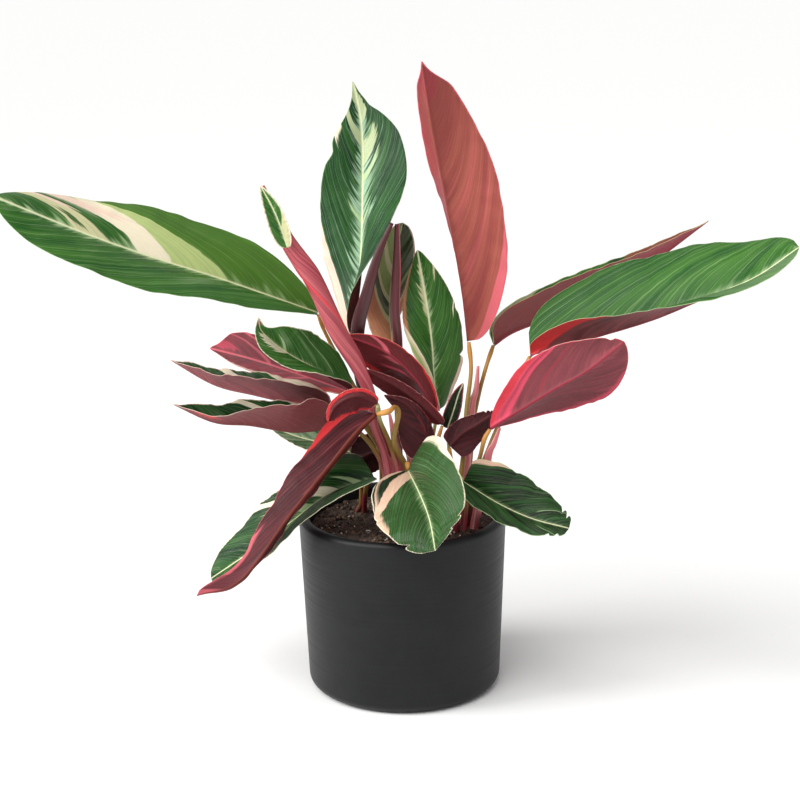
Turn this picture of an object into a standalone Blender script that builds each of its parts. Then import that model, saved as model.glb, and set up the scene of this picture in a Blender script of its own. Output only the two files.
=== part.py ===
"""A potted stromanthe triostar: a prayer plant with long leaves, green and cream above and maroon below.

The plant stands in a plain round planter full of soil. Lengths are in metres and +Z is up. The
origin is the centre of the planter's underside. The front looks along -Y.
"""

import math
from dataclasses import dataclass

import bmesh
import bpy
import numpy as np
from mathutils import Vector

MM = 0.001

# The planter: a slightly conical turned wall with a round lip and a rounded lower corner
POT_HEIGHT = 0.112
POT_RIM_RADIUS = 0.065
POT_BASE_RADIUS = 0.0605
POT_WALL = 0.007
POT_FLOOR = 0.009
POT_CORNER = 0.007
POT_SIDES = 48
ARC_STEPS = 4

# The soil: fills the planter to a little under its rim
SOIL_DROP = 0.008
SOIL_HOLE_DEPTH = 0.005
SOIL_HOLE_ROOM = 0.0004
SOIL_SIDES = 48
GAP = 0.0003

# Blades and stems
BLADE_THICKNESS = 0.0008
BLADE_STATIONS = 12
BLADE_STRIPS = 3
BLADE_BASE_HALF = 0.0009
BLADE_TIP_HALF = 0.0004
STEM_SIDES = 6
SHOOT_SIDES = 8
STEM_RING_SPACING = 0.011
STEM_FOOT_ROOM = 0.0002
CURVE_STEPS = 16

COLOURS = {
    "charcoal": (0.035, 0.038, 0.041),
    "soil": (0.016, 0.012, 0.009),
    "leaf green": (0.035, 0.135, 0.045),
    "leaf maroon": (0.110, 0.016, 0.026),
    "stem": (0.360, 0.200, 0.060),
    "young shoot": (0.500, 0.070, 0.090),
    "sheath": (0.560, 0.160, 0.210),
}


@dataclass(frozen=True)
class Leaf:
    """One leaf blade, drawn along its midrib from the petiole to the tip.

    Attributes:
        name: what the leaf is called in its node names.
        rib: points of the midrib in millimetres.
        roll: turn about the midrib in degrees at the base and the tip. At 0 the upper side faces
            the front as far as the midrib lets it, and at 180 the underside does.
        wide: greatest half widths in millimetres, left and right of the midrib.
        fold: how far each half is lifted towards the upper side, in degrees, as (base, tip) for
            the left half and for the right half.
        form: how full the blade is at the base and at the tip. Small numbers are fuller.
        wave: height in millimetres, count and phase of the waves along the margins.
        maroon: True where mostly the underside shows from the front.
    """

    name: str
    rib: tuple
    roll: tuple
    wide: tuple
    fold: tuple
    form: tuple
    wave: tuple = (0.0, 3.0, 0.0)
    maroon: bool = False


@dataclass(frozen=True)
class Stem:
    """A petiole, shoot or sheath that rises from the soil.

    Attributes:
        name: its node name.
        path: points in millimetres from the top to the soil's surface.
        radius: radii in millimetres, evenly spaced along the path.
        flat: how thick it is from front to back, as a share of its width.
    """

    name: str
    path: tuple
    radius: tuple
    flat: float = 1.0


LEAVES = (
    Leaf(
        name="long_left",
        rib=((-50, 6, 238), (-106, -10, 263), (-146, -24, 280), (-183, -36, 297), (-231, -48, 321)),
        roll=(60, 67),
        wide=(34, 37),
        fold=((31, -12), (34, -13)),
        form=(0.64, 0.57),
        wave=(1.2, 3, 0.1),
    ),
    Leaf(
        name="top_green",
        rib=((-30, 26, 219), (-24, 40, 258), (-22, 52, 300), (-22, 62, 343), (-27, 70, 372)),
        roll=(-68, 21),
        wide=(27, 36),
        fold=((13, 13), (50, 6)),
        form=(0.73, 0.88),
        wave=(1, 3, 0.3),
    ),
    Leaf(
        name="back_cream",
        rib=((-4, 41, 204), (-6, 50, 230), (-3, 58, 257), (3, 60, 284)),
        roll=(-40, 0),
        wide=(15, 18),
        fold=((23, 23), (44, 22)),
        form=(0.4, 0.51),
        wave=(0.8, 3, 0.2),
    ),
    Leaf(
        name="mid_green",
        rib=((23, 24, 170), (21, 24, 191), (20, 26, 212), (17, 32, 239), (12, 40, 270)),
        roll=(60, -27),
        wide=(18, 20),
        fold=((47, -16), (17, -2)),
        form=(0.48, 0.75),
        wave=(0.8, 3, 0),
    ),
    Leaf(
        name="tall_red",
        rib=((43, 20, 216), (39, 14, 251), (31, 4, 298), (22, -8, 347), (15, -24, 392)),
        roll=(-238, -195),
        wide=(34, 19),
        fold=((15, 22), (48, 33)),
        form=(0.55, 0.72),
        wave=(0.8, 3, 0.4),
        maroon=True,
    ),
    Leaf(
        name="back_right",
        rib=((59, 30, 211), (72, 36, 218), (102, 48, 227), (155, 66, 250), (201, 84, 278)),
        roll=(-83, -82),
        wide=(19, 28),
        fold=((63, 34), (65, 39)),
        form=(0.46, 0.97),
        maroon=True,
    ),
    Leaf(
        name="long_right",
        rib=((80, 0, 211), (121, -10, 225), (152, -20, 237), (178, -32, 251), (207, -44, 266),
             (230, -56, 286)),
        roll=(-72, -73),
        wide=(43, 21),
        fold=((44, 3), (92, 0)),
        form=(0.42, 0.54),
        wave=(1.2, 3, 0.2),
    ),
    Leaf(
        name="low_right_red",
        rib=((55, -14, 169), (74, -24, 184), (92, -36, 199), (110, -48, 213), (130, -60, 233)),
        roll=(-162, -178),
        wide=(25, 23),
        fold=((34, 4), (27, 5)),
        form=(0.82, 0.71),
        wave=(1, 3, 0.6),
        maroon=True,
    ),
    Leaf(
        name="front_down",
        rib=((-15, -26, 182), (-27, -34, 173), (-43, -44, 156), (-67, -56, 129), (-97, -66, 92),
             (-123, -70, 84)),
        roll=(-121, -114),
        wide=(30, 10),
        fold=((4, 11), (125, 130)),
        form=(0.18, 0.51),
        wave=(1, 4, 0.2),
        maroon=True,
    ),
    Leaf(
        name="front_arch",
        rib=((-14, -25, 189), (-23, -27, 194), (-32, -28, 193), (-40, -27, 187), (-44, -26, 178)),
        roll=(170, 175),
        wide=(4, 12),
        fold=((15, 10), (15, 9)),
        form=(0.33, 0.5),
        maroon=True,
    ),
    Leaf(
        name="left_upper",
        rib=((-43, 4, 181), (-71, 6, 183), (-92, 12, 186), (-117, 22, 190), (-145, 34, 203)),
        roll=(87, 75),
        wide=(19, 14),
        fold=((61, 47), (60, 47)),
        form=(0.49, 0.85),
        wave=(0.7, 4, 0.1),
        maroon=True,
    ),
    Leaf(
        name="left_lower",
        rib=((-43, 0, 167), (-66, -7, 167), (-92, -16, 174), (-113, -26, 179), (-136, -36, 193)),
        roll=(87, 76),
        wide=(29, 17),
        fold=((67, 39), (66, 49)),
        form=(0.31, 0.84),
        wave=(0.7, 4, 0.5),
        maroon=True,
    ),
    Leaf(
        name="left_pink",
        rib=((-33, 16, 187), (-63, 26, 195), (-92, 40, 201), (-122, 56, 205)),
        roll=(134, 176),
        wide=(19, 12),
        fold=((-21, 18), (-1, 17)),
        form=(0.29, 0.44),
        wave=(0.8, 4, 0.3),
        maroon=True,
    ),
    Leaf(
        name="left_green",
        rib=((-30, -4, 192), (-49, -8, 205), (-68, -14, 218), (-82, -22, 233), (-84, -26, 243)),
        roll=(81, 11),
        wide=(14, 18),
        fold=((48, 23), (29, 39)),
        form=(0.53, 0.62),
        wave=(0.6, 3, 0.1),
    ),
    Leaf(
        name="mid_maroon",
        rib=((21, 7, 175), (9, 3, 197), (-9, -1, 215), (-32, -5, 226)),
        roll=(143, 180),
        wide=(8, 20),
        fold=((13, 9), (28, 7)),
        form=(0.49, 0.62),
        maroon=True,
    ),
    Leaf(
        name="mid_dark",
        rib=((26, 4, 167), (12, 1, 181), (-3, -1, 193), (-22, -3, 204)),
        roll=(162, 175),
        wide=(4, 9),
        fold=((15, 9), (22, 9)),
        form=(0.39, 0.55),
        maroon=True,
    ),
    Leaf(
        name="mid_drooping",
        rib=((17, -1, 154), (11, -4, 172), (3, -6, 183), (-10, -7, 189)),
        roll=(214, 172),
        wide=(6, 18),
        fold=((5, 6), (-17, 8)),
        form=(0.15, 0.93),
        maroon=True,
    ),
    Leaf(
        name="right_maroon",
        rib=((30, -4, 155), (38, -4, 163), (48, -4, 169), (58, -4, 176)),
        roll=(-200, -160),
        wide=(12, 8),
        fold=((2, 19), (14, 11)),
        form=(0.15, 0.46),
        maroon=True,
    ),
    Leaf(
        name="young_green",
        rib=((29, 11, 162), (33, 11, 174), (36, 11, 184), (39, 11, 191)),
        roll=(-5, 2),
        wide=(5, 4),
        fold=((14, 13), (15, 10)),
        form=(0.43, 0.77),
    ),
    Leaf(
        name="front_low",
        rib=((4, -22, 145), (11, -46, 137), (16, -68, 129), (19, -86, 116)),
        roll=(-14, 20),
        wide=(40, 30),
        fold=((41, 28), (30, 12)),
        form=(0.36, 0.42),
        wave=(1.4, 3, 0.2),
    ),
    Leaf(
        name="right_low",
        rib=((38, -18, 136), (58, -30, 126), (78, -40, 119), (100, -48, 115)),
        roll=(-35, -64),
        wide=(22, 16),
        fold=((55, 3), (41, 1)),
        form=(0.15, 0.33),
        wave=(1.2, 4, 0.3),
    ),
    Leaf(
        name="left_low",
        rib=((-17, -14, 138), (-44, -22, 131), (-71, -22, 111), (-96, -10, 89), (-122, 4, 67)),
        roll=(72, 53),
        wide=(22, 24),
        fold=((31, 12), (26, 21)),
        form=(0.17, 0.52),
        wave=(1.2, 3, 0.1),
    ),
    Leaf(
        name="left_behind",
        rib=((-32, 12, 147), (-48, 18, 151), (-64, 26, 153), (-83, 36, 157)),
        roll=(48, 60),
        wide=(9, 8),
        fold=((14, 14), (14, 9)),
        form=(0.46, 0.74),
    ),
    Leaf(
        name="behind_stems",
        rib=((-7, 32, 143), (-19, 34, 140), (-30, 36, 133), (-39, 36, 123)),
        roll=(165, 175),
        wide=(13, 14),
        fold=((10, 5), (10, 5)),
        form=(0.4, 0.5),
        maroon=True,
    ),
)

PETIOLES = (
    Stem(
        name="petiole_long_left",
        path=((-49.7, 6.2, 237), (-44.5, 9.7, 221.9), (-24.7, 8.1, 182.3), (-7.5, 6.6, 147.7),
              (-14.3, 5.4, 104)),
        radius=(1, 1.5, 1.8),
    ),
    Stem(
        name="petiole_top_green",
        path=((-29.7, 25.8, 218), (-20.8, 18.9, 186.7), (-5.2, 15.7, 139.3), (-8.1, 14.2, 104)),
        radius=(1, 1.5, 1.8),
    ),
    Stem(
        name="petiole_back_cream",
        path=((-4, 40.8, 203.2), (-2.9, 34, 174.7), (-1.3, 25.2, 134.2), (2.5, 18.2, 104)),
        radius=(1, 1.5, 1.8),
    ),
    Stem(
        name="petiole_mid_green",
        path=((22.8, 23.9, 168.9), (19.4, 22.4, 151.2), (9.6, 15.2, 126.7), (6.9, 7.5, 104)),
        radius=(0.9, 1.4, 1.8),
    ),
    Stem(
        name="petiole_front_down",
        path=((-14, -26.3, 182.3), (-6.9, -28.7, 184.8), (-3.8, -18, 184.3), (-1.4, -14.4, 179),
              (-4.3, -14.7, 160.4), (3.3, -4.3, 138.4), (-0.2, -3.3, 104)),
        radius=(1.3, 1.8, 1.8),
    ),
    Stem(
        name="petiole_front_arch",
        path=((-13.9, -24, 187.7), (-12.8, -14.9, 175.4), (-6.6, -9.4, 157), (-1.9, -5.2, 133.2),
              (-4.7, 1.8, 104)),
        radius=(1.1, 1.6, 1.8),
    ),
    Stem(
        name="petiole_left_upper",
        path=((-42, 3.8, 180.6), (-30.2, 1, 176.3), (-16.6, 2.1, 157.3), (-4, 2.8, 133.5),
              (-10.6, 9.8, 104)),
        radius=(0.9, 1.4, 1.8),
    ),
    Stem(
        name="petiole_left_lower",
        path=((-42.2, -0.7, 167.2), (-32.6, -10, 169.9), (-24.6, -9.1, 165), (-16.5, -5.6, 153.2),
              (-10.5, -2.2, 136.3), (-9.9, -3.7, 104)),
        radius=(1.1, 1.6, 1.8),
    ),
    Stem(
        name="petiole_left_pink",
        path=((-32.4, 15.7, 186.1), (-24.5, 12.1, 174.6), (-13.6, 12.8, 145.3), (-13, 15, 104)),
        radius=(0.9, 1.4, 1.8),
    ),
    Stem(
        name="petiole_left_green",
        path=((-29.6, -3.3, 191.2), (-25.9, 2.6, 184.6), (-20.7, 5.8, 166), (-6.8, 11, 139.8),
              (-3.1, 9.2, 104)),
        radius=(0.9, 1.4, 1.8),
    ),
    Stem(
        name="petiole_mid_maroon",
        path=((20.8, 7.5, 174.1), (15.3, 18.4, 153.3), (5.2, 15.7, 127.7), (5.8, 14.8, 104)),
        radius=(0.9, 1.4, 1.8),
    ),
    Stem(
        name="petiole_mid_dark",
        path=((25.5, 4.1, 165.4), (20.2, 5.6, 149.7), (9, 6.3, 126.2), (11.7, 5.4, 104)),
        radius=(0.9, 1.4, 1.8),
    ),
    Stem(
        name="petiole_mid_drooping",
        path=((16.5, -0.7, 153.1), (11.6, 2.6, 143), (3.7, 4.2, 125.6), (4, -0.7, 104)),
        radius=(0.9, 1.4, 1.8),
    ),
    Stem(
        name="petiole_front_low",
        path=((3.9, -21, 145.4), (3.4, -15.3, 147.4), (3.8, -8.6, 134.3), (4.1, -7.3, 104)),
        radius=(1.1, 1.6, 1.8),
    ),
    Stem(
        name="petiole_behind_stems",
        path=((-6.8, 31.2, 142.3), (-4.2, 20.9, 133.9), (-3.5, 19.4, 115.9), (-1.8, 22.9, 104)),
        radius=(0.9, 1.4, 1.8),
    ),
    Stem(
        name="petiole_tall_red",
        path=((43, 19.8, 215.2), (44.1, 15, 197.8), (40.9, 7.5, 174.1), (38.2, -1, 144.8),
              (32.2, -8.9, 104)),
        radius=(1.1, 1.6, 1.8),
    ),
    Stem(
        name="petiole_back_right",
        path=((58.7, 29.4, 210.2), (53.1, 19.2, 197), (46.6, 19, 170.1), (43.5, 13, 143.8), (39.5, 3, 104)),
        radius=(1.1, 1.6, 1.8),
    ),
    Stem(
        name="petiole_long_right",
        path=((79.6, 0.2, 210), (70.4, 3.8, 188.1), (56.6, -0.3, 157.2), (45.7, -6, 129.9),
              (41.1, -9, 104)),
        radius=(1.1, 1.6, 1.8),
    ),
    Stem(
        name="petiole_low_right_red",
        path=((54.4, -14.2, 168.1), (50.9, -15.2, 162.3), (48, -15, 150.3), (40.7, -14, 126.1),
              (38, -15, 104)),
        radius=(1.1, 1.6, 1.8),
    ),
    Stem(
        name="petiole_right_maroon",
        path=((30.1, -3.7, 153.3), (31, -2, 142.1), (32.3, -11.3, 125.4), (28.8, -12.4, 104)),
        radius=(0.8, 1.3, 1.8),
    ),
    Stem(
        name="petiole_young_green",
        path=((29.1, 10.8, 160.9), (30.3, 7.8, 142.3), (33.2, 0.6, 121.5), (26, -3.1, 104)),
        radius=(0.8, 1.3, 1.8),
    ),
    Stem(
        name="petiole_right_low",
        path=((37.4, -17.2, 136.3), (34.5, -13.4, 137.8), (34.6, -15.4, 125.9), (33, -18, 104)),
        radius=(1.1, 1.6, 1.8),
    ),
    Stem(
        name="petiole_left_low",
        path=((-17.4, -13.1, 137.5), (-21.4, -5.3, 132.8), (-23.8, 12.7, 114.2), (-24, 19, 104)),
        radius=(1.1, 1.6, 1.8),
    ),
    Stem(
        name="petiole_left_behind",
        path=((-31.6, 12, 146), (-26.6, 11.6, 134.8), (-25.9, 20.6, 112.2), (-29.1, 22, 104)),
        radius=(0.9, 1.4, 1.8),
    ),
)

SHOOTS = (
    Stem(
        name="spear_shoot",
        path=((-78.7, -26, 321.7), (-66.8, -24, 291.6), (-51.6, -22, 265.7), (-37.8, -19, 233),
              (-26.2, -13, 210.2), (-17.5, -13.2, 188.2), (-16.5, -10.4, 171), (-9.5, -7.5, 146.8),
              (-5.2, -7.1, 104)),
        radius=(1.2, 4.5, 6.2, 6, 5.6, 3.6, 2.4, 2.2, 2),
        flat=0.9,
    ),
    Stem(
        name="strap_shoot",
        path=((-3.7, 11, 292.3), (-12.3, 4.9, 274.2), (-19.3, 1.5, 251.6), (-25.9, 4.8, 223.9),
              (-22.4, 15.3, 180), (-8.5, 17.9, 132.5), (-11, 21.2, 104)),
        radius=(1.2, 3.2, 4.4, 4, 2.4, 1.8, 1.8),
        flat=0.5,
    ),
    Stem(
        name="rolled_shoot",
        path=((-0.6, 24, 289.4), (-1.2, 22.2, 267.3), (-2.7, 17.4, 236.5), (-1.4, 17.5, 215.8),
              (-1.8, 22.3, 177.8), (-0.8, 12.5, 138), (1.5, 10.2, 104)),
        radius=(1.6, 3.2, 3.3, 3.1, 2.2, 1.8, 1.8),
        flat=0.8,
    ),
)

SHEATHS = (
    Stem(
        name="sheath_low_right",
        path=((60.7, -8.1, 167.2), (57, -10, 158.2), (52.6, -12, 148), (44, -15, 104)),
        radius=(0.6, 1.8, 1.9, 1.8),
        flat=0.75,
    ),
    Stem(
        name="sheath_back_right",
        path=((48.5, 15, 200.9), (47.1, 14.5, 185.6), (43.6, 13, 169.9), (36.3, -4, 104)),
        radius=(0.6, 1.8, 1.9, 1.8),
        flat=0.75,
    ),
    Stem(
        name="sheath_middle",
        path=((-6.9, -7.5, 176.8), (-4.2, -5.6, 159.7), (-1, -1.5, 137.7), (-1.4, 5.1, 104)),
        radius=(0.6, 1.8, 1.9, 1.8),
        flat=0.75,
    ),
    Stem(
        name="sheath_front",
        path=((-13.2, -2.9, 155.9), (-9.1, -2.3, 147.5), (-5.1, -1.9, 137), (-9.1, 2.9, 104)),
        radius=(0.6, 1.8, 1.9, 1.8),
        flat=0.75,
    ),
    Stem(
        name="sheath_thin",
        path=((0.8, -2, 165.1), (2.8, 0.1, 154.1), (6.3, -0.7, 142.9), (8.2, 2.6, 104)),
        radius=(0.6, 1.8, 1.9, 1.8),
        flat=0.75,
    ),
)


def unit(vectors):
    """Return the vectors, each scaled to length 1."""
    return vectors / np.linalg.norm(vectors, axis=-1, keepdims=True)


def smooth_path(points, count):
    """Return count + 1 even places along a smooth curve through the points."""
    points = np.asarray(points, float)
    ends = 2 * points[[0, -1]] - points[[1, -2]]
    points = np.vstack([ends[0], points, ends[1]])
    curve = []
    for before, start, end, after in zip(points, points[1:], points[2:], points[3:]):
        for s in np.linspace(0, 1, CURVE_STEPS, endpoint=False):
            cubic = 3 * start - before - 3 * end + after
            square = 2 * before - 5 * start + 4 * end - after
            curve.append(0.5 * (2 * start + (end - before) * s + square * s**2 + cubic * s**3))
    curve = np.array(curve + [points[-2]])
    steps = np.linalg.norm(np.diff(curve, axis=0), axis=1)
    length = np.concatenate([[0], np.cumsum(steps)])
    places = np.linspace(0, length[-1], count + 1)
    return np.stack([np.interp(places, length, curve[:, k]) for k in range(3)], axis=1)


def between(values, t):
    """Return the values, spaced evenly over 0 to 1, read at each t."""
    return np.interp(t, np.linspace(0, 1, len(values)), values)


def rib_frames(rib, roll):
    """Return the direction, upper-side normal and rightward vector at each place of a midrib."""
    along = unit(np.gradient(rib, axis=0))
    front = np.array([0.0, -1.0, 0.0])
    front = unit(front - (along @ front)[:, None] * along)
    turned = np.cross(along, front)
    roll = np.radians(roll)[:, None]
    normal = np.cos(roll) * front + np.sin(roll) * turned
    return along, normal, np.cross(along, normal)


def blade_grid(leaf):
    """Return the blade's middle surface as a grid: stations along it, points across it."""
    rib = smooth_path(leaf.rib, BLADE_STATIONS) * MM
    t = np.linspace(0, 1, BLADE_STATIONS + 1)
    _, normal, right = rib_frames(rib, between(leaf.roll, t))
    base, tip = leaf.form
    widest = base / (base + tip)
    inner = np.clip(t, 1e-6, 1 - 1e-6)
    outline = inner**base * (1 - inner) ** tip / (widest**base * (1 - widest) ** tip)
    height, count, phase = leaf.wave
    grid = np.zeros((BLADE_STATIONS + 1, 2 * BLADE_STRIPS + 1, 3))
    grid[:, BLADE_STRIPS] = rib
    for half, side in enumerate((-1, 1)):
        lift = np.radians(between(leaf.fold[half], t))[:, None]
        reach = between((BLADE_BASE_HALF, BLADE_TIP_HALF), t) + leaf.wide[half] * MM * outline
        across = side * np.cos(lift) * right + np.sin(lift) * normal
        wave = np.sin(2 * math.pi * (count * t + phase + (side > 0) / 2))
        wave *= np.sqrt(np.clip(np.sin(math.pi * t), 0, 1))
        for strip in range(1, BLADE_STRIPS + 1):
            u = strip / BLADE_STRIPS
            ripple = (height * MM * u**2 * wave)[:, None] * normal
            grid[:, BLADE_STRIPS + side * strip] = rib + (reach * u)[:, None] * across + ripple
    return grid


def grid_normals(grid):
    """Return the normal at each point of a blade grid, towards the upper side."""
    return unit(np.cross(np.gradient(grid, axis=1), np.gradient(grid, axis=0)))


def new_object(name, mesh, material):
    """Put a mesh in the scene as a named object with one material."""
    mesh.materials.append(material)
    item = bpy.data.objects.new(name, mesh)
    bpy.context.collection.objects.link(item)
    return item


def mesh_from(name, points, faces):
    """Return a mesh of the points and faces, with its faces turned outwards."""
    work = bmesh.new()
    corners = [work.verts.new(point) for point in points]
    for face in faces:
        work.faces.new([corners[i] for i in face])
    bmesh.ops.recalc_face_normals(work, faces=work.faces)
    mesh = bpy.data.meshes.new(name)
    work.to_mesh(mesh)
    work.free()
    return mesh


def blade_mesh(leaf):
    """Return the blade as a closed sheet, its two faces split into triangles alike."""
    grid = blade_grid(leaf)
    lift = grid_normals(grid) * BLADE_THICKNESS / 2
    rows, columns = grid.shape[:2]
    points = [Vector(p) for face in (grid + lift, grid - lift) for p in face.reshape(-1, 3)]
    under = rows * columns
    faces = []
    for row in range(rows - 1):
        for column in range(columns - 1):
            a = row * columns + column
            b, c, d = a + 1, a + columns + 1, a + columns
            for face in ((a, b, c), (a, c, d)):
                faces.append(face)
                faces.append(tuple(i + under for i in reversed(face)))
    rim = list(range(columns))
    rim += [row * columns + columns - 1 for row in range(1, rows)]
    rim += [(rows - 1) * columns + column for column in range(columns - 2, -1, -1)]
    rim += [row * columns for row in range(rows - 2, 0, -1)]
    for a, b in zip(rim, rim[1:] + rim[:1]):
        faces.append((a, b, b + under))
        faces.append((a, b + under, a + under))
    return mesh_from(leaf.name, points, faces)


def stem_rings(stem, sides):
    """Return the rings of points along a stem, from its top to its foot in the soil."""
    path = np.asarray(stem.path, float)
    length = np.linalg.norm(np.diff(path, axis=0), axis=1).sum() * MM
    count = max(3, round(length / STEM_RING_SPACING))
    line = smooth_path(path, count) * MM
    foot = line[-1] - [0, 0, SOIL_HOLE_DEPTH - STEM_FOOT_ROOM]
    line = np.vstack([line, foot])
    radius = between(stem.radius, np.linspace(0, 1, count + 1)) * MM
    radius = np.append(radius, radius[-1])
    _, normal, right = rib_frames(line, np.zeros(len(line)))
    angles = 2 * math.pi * np.arange(sides) / sides
    rings = []
    for centre, size, front, side in zip(line, radius, normal, right):
        ring = [math.cos(a) * side + stem.flat * math.sin(a) * front for a in angles]
        rings.append([centre + size * spoke for spoke in ring])
    return rings


def stem_mesh(stem, sides):
    """Return the stem as a closed tube."""
    rings = stem_rings(stem, sides)
    points = [Vector(p) for ring in rings for p in ring]
    faces = [tuple(range(sides)), tuple(range(len(points) - sides, len(points)))]
    for ring in range(len(rings) - 1):
        for k in range(sides):
            a = ring * sides + k
            b = ring * sides + (k + 1) % sides
            faces.append((a, b, b + sides))
            faces.append((a, b + sides, a + sides))
    return mesh_from(stem.name, points, faces)


def arc(centre, radius, start, end):
    """Return points of an arc in the turned profile, from one angle to the other in degrees."""
    angles = np.radians(np.linspace(start, end, ARC_STEPS + 1))
    return [(centre[0] + radius * math.cos(a), centre[1] + radius * math.sin(a)) for a in angles]


def pot_outer_radius(height):
    """Return the planter's outer radius at a height, without its rounded corner."""
    return POT_BASE_RADIUS + (POT_RIM_RADIUS - POT_BASE_RADIUS) * height / POT_HEIGHT


def turned_mesh(name, profile, sides):
    """Return the solid made by turning a closed profile that starts and ends on the axis."""
    rings = profile[1:-1]
    points = [Vector((0, 0, profile[0][1]))]
    for radius, height in rings:
        for k in range(sides):
            a = 2 * math.pi * k / sides
            points.append(Vector((radius * math.cos(a), radius * math.sin(a), height)))
    points.append(Vector((0, 0, profile[-1][1])))
    last = len(points) - 1
    faces = []
    for k in range(sides):
        following = (k + 1) % sides
        faces.append((0, 1 + k, 1 + following))
        faces.append((last, last - sides + k, last - sides + following))
        for ring in range(len(rings) - 1):
            a = 1 + ring * sides
            faces.append((a + k, a + following, a + sides + following, a + sides + k))
    return mesh_from(name, points, faces)


def pot_mesh():
    """Return the planter: foot, rounded corner, wall, round lip and inside."""
    lip = POT_WALL / 2
    corner = (pot_outer_radius(POT_CORNER) - POT_CORNER, POT_CORNER)
    lip_centre = (POT_RIM_RADIUS - lip, POT_HEIGHT - lip)
    inner_foot = pot_outer_radius(POT_FLOOR) - POT_WALL
    profile = [(0, 0)]
    profile += arc(corner, POT_CORNER, -90, 0)
    profile += arc(lip_centre, lip, 0, 180)
    profile += [(inner_foot, POT_FLOOR), (0, POT_FLOOR)]
    return turned_mesh("pot", profile, POT_SIDES)


def soil_mesh():
    """Return the soil's body, which follows the planter's inside."""
    low = POT_FLOOR + GAP
    high = POT_HEIGHT - SOIL_DROP
    clear = POT_WALL + GAP * 2
    profile = [(0, low), (pot_outer_radius(low) - clear, low)]
    profile += [(pot_outer_radius(high) - clear, high), (0, high)]
    return turned_mesh("soil", profile, SOIL_SIDES)


def drill_soil(soil, stems):
    """Cut one plain hole in the soil for the foot of each stem."""
    top = POT_HEIGHT - SOIL_DROP
    points, faces = [], []
    for stem in stems:
        x, y = stem.path[-1][0] * MM, stem.path[-1][1] * MM
        radius = stem.radius[-1] * MM + SOIL_HOLE_ROOM
        first = len(points)
        for height in (top - SOIL_HOLE_DEPTH, top + SOIL_HOLE_DEPTH):
            for k in range(SHOOT_SIDES):
                a = 2 * math.pi * k / SHOOT_SIDES
                points.append(Vector((x + radius * math.cos(a), y + radius * math.sin(a), height)))
        ring = list(range(first, first + SHOOT_SIDES))
        faces += [tuple(reversed(ring)), tuple(i + SHOOT_SIDES for i in ring)]
        for k in range(SHOOT_SIDES):
            a, b = ring[k], ring[(k + 1) % SHOOT_SIDES]
            faces.append((a, b, b + SHOOT_SIDES, a + SHOOT_SIDES))
    cutter = bpy.data.objects.new("hole_cutter", mesh_from("hole_cutter", points, faces))
    bpy.context.collection.objects.link(cutter)
    cutter.hide_render = True
    cutter.display_type = "WIRE"
    cut = soil.modifiers.new("stem_holes", "BOOLEAN")
    cut.operation = "DIFFERENCE"
    cut.solver = "EXACT"
    cut.object = cutter


def make_material(name, roughness):
    """Return a plain Principled material of one of the named colours."""
    material = bpy.data.materials.new(name)
    material.use_nodes = True
    shader = material.node_tree.nodes["Principled BSDF"]
    shader.inputs["Base Color"].default_value = (*COLOURS[name], 1.0)
    shader.inputs["Roughness"].default_value = roughness
    material.diffuse_color = (*COLOURS[name], 1.0)
    return material


def smooth(item, angle=40):
    """Shade an object smooth, with its corners left sharp."""
    item.data.shade_smooth()
    item.data.set_sharp_from_angle(angle=math.radians(angle))


def main():
    """Build the planter, the soil, and every blade, petiole, shoot and sheath."""
    for item in list(bpy.data.objects):
        bpy.data.objects.remove(item)
    charcoal = make_material("charcoal", 0.55)
    earth = make_material("soil", 0.95)
    green = make_material("leaf green", 0.4)
    maroon = make_material("leaf maroon", 0.45)
    stalk = make_material("stem", 0.45)
    young = make_material("young shoot", 0.4)
    scale = make_material("sheath", 0.5)
    smooth(new_object("pot", pot_mesh(), charcoal))
    soil = new_object("soil", soil_mesh(), earth)
    drill_soil(soil, PETIOLES + SHOOTS + SHEATHS)
    for leaf in LEAVES:
        smooth(new_object("blade_" + leaf.name, blade_mesh(leaf), maroon if leaf.maroon else green))
    for stems, sides, material in (
        (PETIOLES, STEM_SIDES, stalk),
        (SHOOTS, SHOOT_SIDES, young),
        (SHEATHS, STEM_SIDES, scale),
    ):
        for stem in stems:
            smooth(new_object(stem.name, stem_mesh(stem, sides), material))


if __name__ == "__main__":
    main()
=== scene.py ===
"""The looks of a potted stromanthe triostar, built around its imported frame.

Lengths are in metres and the frame's origin is the centre of the planter's underside. Leaf and
stem routes are in millimetres, as the construction has them.
"""

import enum
import logging
import math
from collections.abc import Sequence
from dataclasses import dataclass, field

import bmesh
import bpy
import numpy as np
from mathutils import Matrix, Vector


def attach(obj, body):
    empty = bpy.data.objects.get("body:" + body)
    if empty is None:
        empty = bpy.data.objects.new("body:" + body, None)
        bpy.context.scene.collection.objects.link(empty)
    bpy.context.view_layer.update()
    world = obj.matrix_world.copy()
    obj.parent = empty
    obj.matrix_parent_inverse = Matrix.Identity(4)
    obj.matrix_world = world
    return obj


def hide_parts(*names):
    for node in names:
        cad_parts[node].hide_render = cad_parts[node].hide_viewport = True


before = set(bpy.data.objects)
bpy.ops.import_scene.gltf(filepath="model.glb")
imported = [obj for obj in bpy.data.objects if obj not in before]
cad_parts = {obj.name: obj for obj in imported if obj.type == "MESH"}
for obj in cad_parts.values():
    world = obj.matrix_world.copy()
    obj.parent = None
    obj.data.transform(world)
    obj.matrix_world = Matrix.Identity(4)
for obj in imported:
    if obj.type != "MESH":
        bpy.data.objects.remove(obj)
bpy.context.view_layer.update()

LOG = logging.getLogger("triostar")
MM = 0.001
TURN = 2 * math.pi
BODY = "root"

Array = np.ndarray
Mesh = bpy.types.Mesh
Material = bpy.types.Material
Socket = bpy.types.NodeSocket
Pair = tuple[float, float]
Vec = tuple[float, float, float]
Colour = tuple[float, float, float, float]
Value = Socket | float | Vec | Colour


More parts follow.
